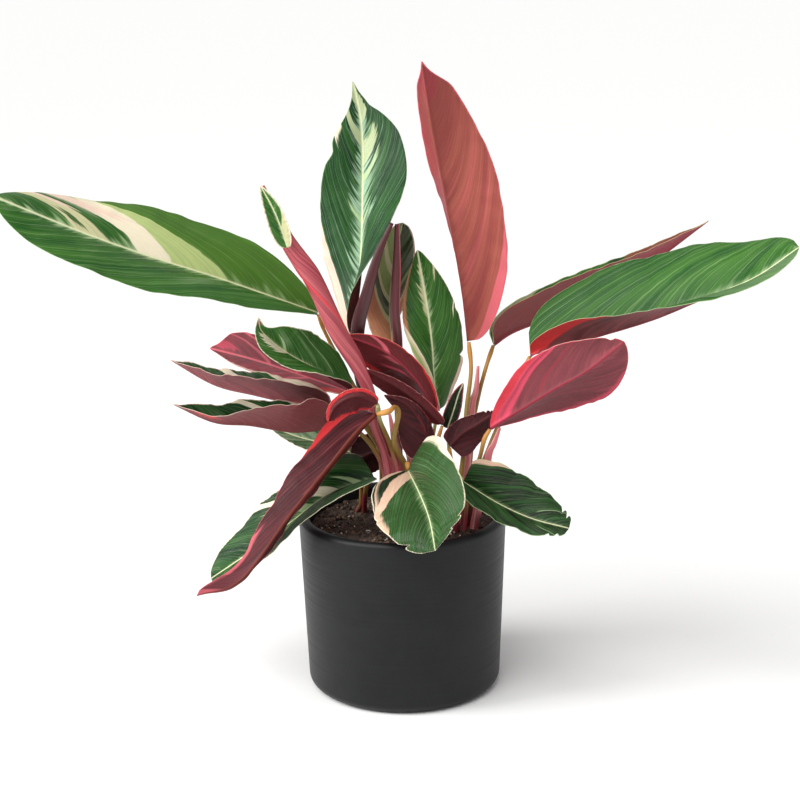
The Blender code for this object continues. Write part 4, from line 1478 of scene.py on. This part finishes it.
@dataclass(frozen=True)
class Blade:
    """A leaf blade as a thin closed sheet with a midrib, waves and its own surface coordinates.

    Attributes:
        leaf: the row it is built from.
        seed: sets apart the small unevenness of each blade.
        stations: how many steps there are from its base to its tip.
        across: where the points of each half lie, 0 at the midrib and 1 at the margin.
        ends: what is added to each half's width at the base and at the tip.
        thickness: how thick it is at the midrib and at the margin.
        bow: how far each half arches, as a share of its width.
        crinkle: how high the fine unevenness of the margin is.
        ridge: how far the midrib stands out below, and how wide it is.
        groove: how deep the midrib lies above, and how wide it is.
        pinch: how much narrower a drawn-out tip is, as a share of the width.
    """

    leaf: Leaf
    seed: int
    stations: int = 80
    across: tuple[float, ...] = (
        0.0, 0.018, 0.04, 0.07, 0.12, 0.19, 0.28, 0.38, 0.49, 0.60, 0.71, 0.81, 0.90, 0.96, 1.0,
    )
    ends: Pair = (0.0009, 0.0004)
    thickness: Pair = (0.00055, 0.00026)
    bow: float = 0.07
    crinkle: float = 0.00028
    ridge: Pair = (0.0011, 0.0011)
    groove: Pair = (0.0003, 0.0009)
    pinch: float = 0.72

    def outline(self, t: Array) -> Array:
        """Return the blade's width at each place as a share of its greatest width.

        Args:
            t: the places along the midrib.

        Returns:
            The share at each place.
        """
        base, tip = self.leaf.form
        widest = base / (base + tip)
        inner = np.clip(t, 1e-6, 1 - 1e-6)
        full = inner**base * (1 - inner) ** tip / (widest**base * (1 - widest) ** tip)
        if self.leaf.point:
            near = np.clip((t - 1 + self.leaf.point) / self.leaf.point, 0, 1)
            full *= 1 - self.pinch * near * near * (3 - 2 * near)
        return full

    def reach(self, half: int, side: int, t: Array) -> Array:
        """Find how far a half's margin is from the midrib.

        Args:
            half: which half it is, 0 or 1.
            side: -1 for the left half and 1 for the right one.
            t: the places along the midrib.

        Returns:
            The half's width at each place, with its nicks.
        """
        reach = between(self.ends, t) + self.leaf.wide[half] * MM * self.outline(t)
        for torn, place, length, depth in self.leaf.nicks:
            if torn == side:
                reach *= 1 - depth * np.exp(-(((t - place) / length) ** 2))
        return reach

    def waves(self, side: int, t: Array, rng: np.random.Generator) -> tuple[Array, Array]:
        """Return the margin's wide waves and its fine ones at each place.

        Args:
            side: -1 for the left half and 1 for the right one.
            t: the places along the midrib.
            rng: what the fine waves are drawn with.

        Returns:
            The heights of both in metres.
        """
        height, count, phase = self.leaf.wave
        swing = np.clip(np.sin(math.pi * t), 0, 1)
        wide = np.sin(TURN * (count * t + phase + (side > 0) / 2)) * np.sqrt(swing)
        first, second, _ = rng.uniform(0, 1, 3)
        fine = np.sin(TURN * (9.3 * t + first)) + 0.7 * np.sin(TURN * (14.1 * t + second))
        return height * MM * wide, self.crinkle * fine * swing

    def surface(self) -> tuple[Array, Array, Array]:
        """Lay out the middle surface.

        Returns:
            The places, their surface coordinates and their distances from the midrib.
        """
        rng = np.random.default_rng(self.seed)
        rib = smooth_path(self.leaf.rib, self.stations) * MM
        length = length_of(rib)
        t = np.linspace(0, 1, self.stations + 1)
        _, normal, right = frames(rib, between(self.leaf.roll, t))
        columns = len(self.across) - 1
        grid = np.zeros((len(t), 2 * columns + 1, 3))
        marks = np.zeros_like(grid)
        away = np.zeros(grid.shape[:2])
        grid[:, columns] = rib
        marks[:, columns, 1] = t
        for half, side in enumerate((-1, 1)):
            lift = np.radians(between(self.leaf.fold[half], t))[:, None]
            outward = side * np.cos(lift) * right + np.sin(lift) * normal
            raised = np.cos(lift) * normal - side * np.sin(lift) * right
            reach = self.reach(half, side, t)
            wide, fine = self.waves(side, t, rng)
            for step, u in enumerate(self.across[1:], 1):
                column = columns + side * step
                vein = t - reach / length * (VEINS.start * u + VEINS.sweep * u**2)
                pleat = np.sin(TURN * VEINS.count * vein) * math.sin(math.pi * u) ** 0.6
                pleat *= VEINS.pleat * length / VEINS.count * np.clip(4 * t * (1 - t), 0, 1)
                bow = self.bow * reach * math.sin(math.pi * u) + pleat
                ripple = u**2 * wide + u**3 * fine
                flat = rib + (reach * u)[:, None] * outward
                grid[:, column] = flat + ripple[:, None] * normal + bow[:, None] * raised
                marks[:, column] = np.stack([np.full_like(t, side * u), vein, reach / MM], axis=1)
                away[:, column] = reach * u
        marks[:, columns, 2] = marks[:, columns + 1, 2]
        return grid, marks, away

    def mesh(self) -> Mesh:
        """Return the closed sheet, upper side in slot 0 and underside in slot 1.

        Returns:
            The mesh.
        """
        grid, marks, away = self.surface()
        normals = unit(np.cross(np.gradient(grid, axis=1), np.gradient(grid, axis=0)))
        taper = (1 - np.linspace(0, 1, len(grid))[:, None]) ** 0.6
        middle, margin = self.thickness
        thick = middle + (margin - middle) * np.abs(marks[..., 0]) ** 0.5
        high, wide = self.ridge
        ridge = high * taper * np.exp(-((away / (wide * (0.35 + 0.65 * taper))) ** 2))
        deep, wide = self.groove
        groove = deep * taper * np.exp(-((away / wide) ** 2))
        upper = grid + normals * (thick / 2 - groove)[..., None]
        lower = grid - normals * (thick / 2 + ridge)[..., None]
        points = np.concatenate([upper.reshape(-1, 3), lower.reshape(-1, 3)])
        mesh = new_mesh("blade_" + self.leaf.name, points, *sheet_faces(*away.shape))
        mark(mesh, "leaf", np.tile(marks.reshape(-1, 3), (2, 1)))
        return mesh

    def build(self, slot: str, *nodes: str) -> None:
        """Build the blade with its two painted sides.

        Args:
            slot: the kind of surface it belongs to.
            nodes: the frame's nodes that it replaces.
        """
        mesh = self.mesh()
        for side in Side:
            mesh.materials.append(BladePaint(self.leaf.finish, side, self.seed).material(self.leaf.name))
        add_piece("leaf_" + self.leaf.name, mesh, slot, *nodes)


def tube(name: str, rings: list[Array], marks: Array) -> Mesh:
    """Make a closed tube.

    Args:
        name: the mesh's name.
        rings: the points of each ring.
        marks: the surface coordinates of each point.

    Returns:
        The tube.
    """
    sides = len(rings[0])
    points = np.concatenate(rings)
    faces = [tuple(range(sides)), tuple(range(len(points) - sides, len(points)))]
    for start in range(0, len(points) - sides, sides):
        for k in range(sides):
            a = start + k
            b = start + (k + 1) % sides
            faces.append((a, b, b + sides, a + sides))
    mesh = new_mesh(name, points, faces)
    mark(mesh, "stem", marks)
    return mesh


@dataclass(frozen=True)
class Stalk:
    """A round petiole with the swollen joint that carries its blade.

    Attributes:
        stem: the row it is built from.
        seed: sets apart the small unevenness of each stalk.
        sides: how many points there are around it.
        spacing: how far its rings are apart.
        foot: how far it goes down into the soil.
        joint: how far the joint is from the top, and how long it is.
        swell: how much wider the joint is, as a share of the radius.
        seam: where its first point is around it, in turns, evenly spaced from the top to the
            foot. A quarter is the front and a half the right.
    """

    stem: Stem
    seed: int
    sides: int = 16
    spacing: float = 0.0022
    foot: float = 0.0045
    joint: Pair = (0.006, 0.0045)
    swell: float = 0.32
    seam: tuple[float, ...] = (0.0, 0.0)

    def line(self) -> tuple[Array, Array]:
        """Lay out the middle line down into the soil.

        Returns:
            The places and how far along the line each one is, from 0 to 1.
        """
        path = np.asarray(self.stem.path, float)
        count = max(6, round(length_of(path) * MM / self.spacing))
        line = smooth_path(path, count) * MM
        foot = line[-1] - [0, 0, self.foot]
        return np.vstack([line, foot]), np.append(np.linspace(0, 1, count + 1), 1.0)

    def radius(self, line: Array, t: Array) -> Array:
        """Return the stalk's radius at each place.

        Args:
            line: the middle line.
            t: how far along it each place is.

        Returns:
            The radius in metres.
        """
        away, long = self.joint
        knots = np.random.default_rng(self.seed).uniform(0, 1)
        joint = np.exp(-(((t * length_of(line) - away) / long) ** 2))
        uneven = self.swell * joint + 0.03 * np.sin(TURN * (5 * t + knots))
        return between(self.stem.radius, t) * MM * (1 + uneven)

    def section(self, turn: float) -> tuple[Array, Array, Array]:
        """Shape one cross section.

        Args:
            turn: how far its first point is around the line, in turns.

        Returns:
            Each point's angle, its distance as a share of the radius, and its place around.
        """
        angles = TURN * (np.arange(self.sides) / self.sides + turn)
        return angles, np.ones(self.sides), np.cos(angles)

    def mesh(self) -> Mesh:
        """Return the stalk as a closed tube.

        Returns:
            The mesh.
        """
        line, t = self.line()
        _, normal, right = frames(line, np.zeros(len(line)))
        size, turns = self.radius(line, t), between(self.seam, t)
        rings, marks = [], []
        for centre, wide, front, side, place, turn in zip(line, size, normal, right, t, turns):
            angles, reach, around = self.section(turn)
            spokes = np.cos(angles)[:, None] * side + self.stem.flat * np.sin(angles)[:, None] * front
            rings.append(centre + wide * reach[:, None] * spokes)
            marks.append(np.stack([around, np.full(self.sides, place), np.sin(angles)], axis=1))
        return tube(self.stem.name, rings, np.concatenate(marks))

    def skin(self) -> Material:
        """Return the stalk's material."""
        return StalkSkin(self.stem.tints, self.seed).material(self.stem.name)

    def build(self, name: str, slot: str) -> None:
        """Build the stalk with its skin.

        Args:
            name: the piece's name.
            slot: the kind of surface it belongs to.
        """
        mesh = self.mesh()
        mesh.materials.append(self.skin())
        add_piece(name, mesh, slot, self.stem.name)


@dataclass(frozen=True)
class Roll(Stalk):
    """A young leaf or sheath rolled around itself, with the seam of its outer margin.

    Attributes:
        sides: how many points there are around it.
        seam: where the seam is around the roll, as the stalk's first point.
        step: how far the outer margin stands over the layer below, as a share of the radius.
        grow: how much wider it is than the row says.
        tints: its main colour, its darker colour, which is also the painted shade under the seam, and the
            seam's colour.
    """

    sides: int = 40
    seam: tuple[float, ...] = (0.1, 0.2)
    step: float = 0.14
    grow: float = 1.0
    tints: tuple[Tint, Tint, Tint] = (Tint.PINK_PALE, Tint.PINK, Tint.BLUSH)

    def radius(self, line: Array, t: Array) -> Array:
        """Return the roll's radius at each place."""
        return self.grow * between(self.stem.radius, t) * MM

    def section(self, turn: float) -> tuple[Array, Array, Array]:
        """Shape one spiral cross section that starts at the seam.

        Args:
            turn: how far the seam is around the line, in turns.

        Returns:
            Each point's angle, its distance as a share of the radius, and its share of the spiral.
        """
        share = np.arange(self.sides) / (self.sides - 1)
        angles = TURN * (np.arange(self.sides) / self.sides + turn)
        return angles, 1 - self.step * share, share

    def skin(self) -> Material:
        """Return the roll's material."""
        return RollSkin(*self.tints, self.seed).material(self.stem.name)


def arc(centre: Pair, radius: float, start: float, end: float, steps: int = 10) -> list[Pair]:
    """Return points of an arc in a turned profile, from one angle to the other in degrees."""
    angles = np.radians(np.linspace(start, end, steps + 1))
    return [(centre[0] + radius * math.cos(a), centre[1] + radius * math.sin(a)) for a in angles]


def ring(radius: float, height: float, sides: int) -> Array:
    """Return the points of a level ring around the axis."""
    angles = TURN * np.arange(sides) / sides
    return np.stack([radius * np.cos(angles), radius * np.sin(angles), np.full(sides, height)], axis=1)


def turned_solid(name: str, first: float, rings: list[Array], last: float) -> Mesh:
    """Make a closed solid of rings around the axis.

    Args:
        name: the mesh's name.
        first: the height of the point on the axis before the first ring.
        rings: the points of each ring.
        last: the height of the point on the axis after the last ring.

    Returns:
        The solid.
    """
    sides = len(rings[0])
    points = np.vstack([(0.0, 0.0, first), *rings, (0.0, 0.0, last)])
    end = len(points) - 1
    faces = []
    for k in range(sides):
        following = (k + 1) % sides
        faces.append((0, 1 + k, 1 + following))
        faces.append((end, end - sides + k, end - sides + following))
        for a in range(1, end - sides, sides):
            faces.append((a + k, a + following, a + sides + following, a + sides + k))
    return new_mesh(name, points, faces)


@dataclass(frozen=True)
class Planter:
    """The turned planter with its round lip and rounded foot.

    Attributes:
        height: its height.
        rim: its outer radius at the rim.
        base: its outer radius at the foot.
        wall: how thick its wall is.
        floor: how high its inner floor is.
        corner: the radius of its rounded foot.
        sides: how many points there are around it.
        glaze: its finish.
    """

    height: float = 0.112
    rim: float = 0.065
    base: float = 0.0605
    wall: float = 0.007
    floor: float = 0.009
    corner: float = 0.007
    sides: int = 160
    glaze: Charcoal = Charcoal()

    def outer(self, height: float) -> float:
        """Return the outer radius at a height, without the rounded corner."""
        return self.base + (self.rim - self.base) * height / self.height

    def profile(self) -> list[Pair]:
        """Return the profile that is turned, from the foot over the lip to the inner floor.

        Returns:
            Each point as its radius and height.
        """
        lip = self.wall / 2
        top = self.height - lip
        foot = arc((self.outer(self.corner) - self.corner, self.corner), self.corner, -90, 0)
        walls = [(self.outer(z), z) for z in np.linspace(self.corner + 0.006, top - 0.004, 24)]
        inside = (self.outer(self.floor) - self.wall, self.floor)
        return [*foot, *walls, *arc((self.rim - lip, top), lip, 0, 180), inside]

    def build(self) -> None:
        """Build the planter with its glaze."""
        rings = [ring(radius, height, self.sides) for radius, height in self.profile()]
        mesh = turned_solid("planter", 0.0, rings, self.floor)
        mesh.materials.append(self.glaze.material())
        add_piece("planter", mesh, "planter", "pot")


@dataclass(frozen=True)
class Soil:
    """The soil's body down to the planter's floor, with an uneven top.

    Attributes:
        planter: what it fills.
        drop: how far its top is below the planter's rim.
        clear: its distance from the planter's wall.
        lift: its distance from the planter's floor.
        rings: how many rings its top has.
        sides: how many points there are around it.
        seed: sets its unevenness.
        finish: its finish.
    """

    planter: Planter
    drop: float = 0.008
    clear: float = 0.0006
    lift: float = 0.0003
    rings: int = 40
    sides: int = 120
    seed: int = 11
    finish: Earth = Earth()

    def rough(self, x: Array, y: Array) -> Array:
        """Return small heights, as sums of turned waves.

        Args:
            x: the places to the right.
            y: the places to the back.

        Returns:
            The height at each place.
        """
        rng = np.random.default_rng(self.seed)
        height = np.zeros_like(x)
        for scale, size in ((60, 0.0010), (140, 0.0007), (320, 0.0005), (700, 0.0003)):
            for _ in range(5):
                turn, shift = rng.uniform(0, TURN, 2)
                height += size * 0.5 * np.sin(scale * (x * math.cos(turn) + y * math.sin(turn)) * 2 + shift)
        return height

    def mesh(self) -> Mesh:
        """Return the soil's body.

        Returns:
            The mesh.
        """
        planter = self.planter
        away = planter.wall + self.clear
        top, low = planter.height - self.drop, planter.floor + self.lift
        rings = [ring(planter.outer(low) - away, low, self.sides)]
        for step, radius in enumerate(np.linspace(planter.outer(top) - away, 0, self.rings + 1)[:-1]):
            level = ring(radius, top, self.sides)
            level[:, 2] += self.rough(level[:, 0], level[:, 1]) * min(1.0, step / 3)
            rings.append(level)
        middle = top + self.rough(np.zeros(1), np.zeros(1))[0]
        return turned_solid("potting_soil", low, rings, middle)

    def disc(self) -> Mesh:
        """Return the disc that crumbs are scattered over, a little below the highest points.

        Returns:
            The disc.
        """
        top = self.planter.height - self.drop
        work = bmesh.new()
        inner = self.planter.outer(top) - self.planter.wall - 0.002
        bmesh.ops.create_circle(work, cap_ends=True, radius=inner, segments=48)
        bmesh.ops.translate(work, verts=work.verts, vec=(0, 0, top - 0.0002))
        mesh = bpy.data.meshes.new("soil top")
        work.to_mesh(mesh)
        work.free()
        return mesh

    def build(self) -> None:
        """Build the soil with its finish."""
        mesh = self.mesh()
        mesh.materials.append(self.finish.material())
        add_piece("potting_soil", mesh, "earth", "soil")


@dataclass(frozen=True)
class Crumbs:
    """Small lumps scattered over the soil's top.

    Attributes:
        name: the piece's name.
        density: how many there are in a square metre.
        small: the smallest lump's radius in metres.
        large: the largest lump's radius in metres.
        seed: sets where they fall.
    """

    name: str
    density: float
    small: float
    large: float
    seed: int

    def lump(self) -> bpy.types.Object:
        """Return one uneven lump of radius 1.

        Returns:
            The lump.
        """
        work = bmesh.new()
        bmesh.ops.create_icosphere(work, subdivisions=2, radius=1.0)
        rng = np.random.default_rng(self.seed)
        for corner in work.verts:
            corner.co *= rng.uniform(0.68, 1.12)
        mesh = bpy.data.meshes.new(self.name + " lump")
        work.to_mesh(mesh)
        work.free()
        return place_object(self.name + " lump", mesh)

    def tree(self) -> bpy.types.NodeTree:
        """Return the node group that scatters the lumps over a mesh.

        Returns:
            The node group.
        """
        tree = bpy.data.node_groups.new(self.name + " scatter", "GeometryNodeTree")
        for label, kind in (
            ("Ground", "Geometry"), ("Density", "Float"), ("Smallest", "Float"), ("Largest", "Float"),
            ("Seed", "Int"), ("Lump", "Object"), ("Material", "Material"),
        ):
            tree.interface.new_socket(name=label, in_out="INPUT", socket_type="NodeSocket" + kind)
        tree.interface.new_socket(name="Lumps", in_out="OUTPUT", socket_type="NodeSocketGeometry")
        add = tree.nodes.new
        start, end = add("NodeGroupInput"), add("NodeGroupOutput")
        points = add("GeometryNodeDistributePointsOnFaces")
        info, place = add("GeometryNodeObjectInfo"), add("GeometryNodeInstanceOnPoints")
        size, turn = add("FunctionNodeRandomValue"), add("FunctionNodeRandomValue")
        turn.data_type = "FLOAT_VECTOR"
        turn.inputs["Max"].default_value = (TURN,) * 3
        real, paint = add("GeometryNodeRealizeInstances"), add("GeometryNodeSetMaterial")
        for source, target in (
            (start.outputs["Ground"], points.inputs["Mesh"]),
            (start.outputs["Density"], points.inputs["Density"]),
            (start.outputs["Seed"], points.inputs["Seed"]),
            (start.outputs["Lump"], info.inputs["Object"]),
            (start.outputs["Smallest"], size.inputs[2]),
            (start.outputs["Largest"], size.inputs[3]),
            (start.outputs["Seed"], size.inputs["Seed"]),
            (start.outputs["Seed"], turn.inputs["Seed"]),
            (points.outputs["Points"], place.inputs["Points"]),
            (info.outputs["Geometry"], place.inputs["Instance"]),
            (size.outputs[1], place.inputs["Scale"]),
            (turn.outputs["Value"], place.inputs["Rotation"]),
            (place.outputs["Instances"], real.inputs["Geometry"]),
            (real.outputs["Geometry"], paint.inputs["Geometry"]),
            (start.outputs["Material"], paint.inputs["Material"]),
            (paint.outputs["Geometry"], end.inputs["Lumps"]),
        ):
            tree.links.new(source, target)
        return tree

    def build(self, ground: Mesh, material: Material) -> None:
        """Build the lumps over a ground mesh as one plain mesh.

        Args:
            ground: what they lie on.
            material: their material.
        """
        lump = self.lump()
        base = place_object(self.name + " base", ground)
        work = base.modifiers.new("scatter", "NODES")
        work.node_group = self.tree()
        values = {
            "Density": self.density, "Smallest": self.small, "Largest": self.large,
            "Seed": self.seed, "Lump": lump, "Material": material,
        }
        for item in work.node_group.interface.items_tree:
            if item.in_out == "INPUT" and item.name in values:
                work[item.identifier] = values[item.name]
        bpy.context.view_layer.update()
        graph = bpy.context.evaluated_depsgraph_get()
        mesh = bpy.data.meshes.new_from_object(base.evaluated_get(graph), depsgraph=graph)
        mesh.name = self.name
        mesh.materials.clear()
        mesh.materials.append(material)
        mesh.shade_smooth()
        bpy.data.objects.remove(base)
        bpy.data.objects.remove(lump)
        add_piece(self.name, mesh, "earth")


@dataclass(frozen=True)
class Studio:
    """The pale floor, the soft lights and the camera.

    Attributes:
        floor: the floor's half width and its height.
        pale: the floor's colour.
        glow: how bright the room is for the pieces, and how much more for the camera.
        sun: the wide window's strength and its spread in degrees.
        sun_way: which way the window's light goes.
        box: where the softbox is.
        box_aim: what the softbox faces.
        box_size: the softbox's width and its power.
        lens: the camera's focal length and its sensor's width in millimetres.
        eye: where the camera is.
        tilt: how far the camera is raised from looking straight down, in degrees.
        lean: how far the camera leans, in degrees.
    """

    floor: Pair = (30.0, -0.0002)
    pale: Colour = srgb(246, 246, 245)
    glow: Pair = (0.54, 0.46)
    sun: Pair = (2.25, 50.0)
    sun_way: Vec = (0.62, 0.75, -1.35)
    box: Vec = (-1.4, -0.3, 0.75)
    box_aim: Vec = (0.0, 0.0, 0.12)
    box_size: Pair = (0.7, 17.0)
    lens: Pair = (84.16, 36.0)
    eye: Vec = (-0.0004, -1.1142, 0.4854)
    tilt: float = 74.855
    lean: float = -0.863

    def build_floor(self) -> None:
        """Build the floor."""
        half, height = self.floor
        mesh = bpy.data.meshes.new("floor")
        corners = [(x * half, y * half, height) for x, y in ((-1, -1), (1, -1), (1, 1), (-1, 1))]
        mesh.from_pydata(corners, [], [(0, 1, 2, 3)])
        finish = Writer("pale floor", 0.7)
        finish.shader.inputs["Base Color"].default_value = self.pale
        mesh.materials.append(finish.material)
        place_object("floor", mesh)

    def build_room(self) -> None:
        """Build the room's even light, which the camera sees as white."""
        world = bpy.data.worlds.new("soft room")
        world.use_nodes = True
        nodes, links = world.node_tree.nodes, world.node_tree.links
        nodes["Background"].inputs["Color"].default_value = (1.0, 1.0, 1.0, 1.0)
        seen, glow = nodes.new("ShaderNodeLightPath"), nodes.new("ShaderNodeMath")
        glow.operation = "MULTIPLY_ADD"
        glow.inputs[2].default_value, glow.inputs[1].default_value = self.glow
        links.new(seen.outputs["Is Camera Ray"], glow.inputs[0])
        links.new(glow.outputs[0], nodes["Background"].inputs["Strength"])
        bpy.context.scene.world = world

    def build_lights(self) -> None:
        """Build the wide window's light and the softbox."""
        sun = bpy.data.lights.new("wide window", "SUN")
        sun.energy = self.sun[0]
        sun.angle = math.radians(self.sun[1])
        window = place_object("wide window", sun)
        window.rotation_euler = Vector(self.sun_way).to_track_quat("-Z", "Y").to_euler()
        lamp = bpy.data.lights.new("left softbox", "AREA")
        lamp.size, lamp.energy = self.box_size
        item = place_object("left softbox", lamp)
        item.location = self.box
        item.rotation_euler = (Vector(self.box_aim) - Vector(self.box)).to_track_quat("-Z", "Y").to_euler()

    def build_camera(self) -> None:
        """Build the camera."""
        lens = bpy.data.cameras.new("camera")
        lens.lens, lens.sensor_width = self.lens
        camera = place_object("camera", lens)
        camera.location = self.eye
        tilt = Matrix.Rotation(math.radians(self.tilt), 3, "X")
        camera.rotation_euler = (tilt @ Matrix.Rotation(math.radians(self.lean), 3, "Z")).to_euler()
        bpy.context.scene.camera = camera

    def build(self) -> None:
        """Build the whole studio."""
        bpy.context.scene.view_settings.view_transform = "Standard"
        self.build_floor()
        self.build_room()
        self.build_lights()
        self.build_camera()


SHOOT_ROLLS: dict[str, dict[str, object]] = {
    "spear_shoot": {
        "seam": (-0.2, -0.02, 0.42, 0.62, 0.72, 0.8), "step": 0.13,
        "tints": (Tint.SHELL, Tint.ROSE, Tint.CORAL),
    },
    "strap_shoot": {"seam": (0.6, 0.7), "step": 0.03, "tints": (Tint.MAROON, Tint.WINE, Tint.ROSE)},
    "rolled_shoot": {
        "seam": (0.36, 0.42, 0.46, 0.3), "step": 0.2,
        "tints": (Tint.MAUVE, Tint.MAROON, Tint.PINK),
    },
}
CRUMB = LumpSkin("soil crumb", srgb(46, 36, 30), srgb(118, 96, 78))
PERLITE = LumpSkin("perlite", srgb(206, 202, 192), srgb(240, 238, 232))


def build_ground() -> None:
    """Build the planter, its soil and what lies on it."""
    planter = Planter()
    planter.build()
    soil = Soil(planter)
    soil.build()
    crumb, perlite = CRUMB.material(), PERLITE.material()
    for crumbs, material in (
        (Crumbs("coarse_crumbs", 60000.0, 0.0008, 0.0021, 3), crumb),
        (Crumbs("fine_crumbs", 110000.0, 0.0004, 0.0009, 5), crumb),
        (Crumbs("perlite_grains", 16000.0, 0.0004, 0.0011, 8), perlite),
    ):
        crumbs.build(soil.disc(), material)


def build_plant() -> None:
    """Build the leaves, petioles, shoots and sheaths."""
    for seed, leaf in enumerate(LEAVES):
        Blade(leaf, seed).build("leaf_green", "blade_" + leaf.name)
    Blade(SPEAR_OPENING, len(LEAVES)).build("young_shoot")
    for seed, stem in enumerate(PETIOLES):
        Stalk(stem, seed).build("stalk_" + stem.name.removeprefix("petiole_"), "stem")
    for seed, stem in enumerate(SHOOTS):
        Roll(stem, seed, **SHOOT_ROLLS[stem.name]).build("rolled_" + stem.name, "young_shoot")
    for seed, stem in enumerate(SHEATHS):
        Roll(stem, seed, grow=1.7).build("scale_" + stem.name, "sheath")


def main() -> None:
    """Build the studio and every piece."""
    logging.basicConfig(level=logging.INFO)
    Studio().build()
    build_ground()
    build_plant()
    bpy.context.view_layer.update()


if __name__ == "__main__":
    main()
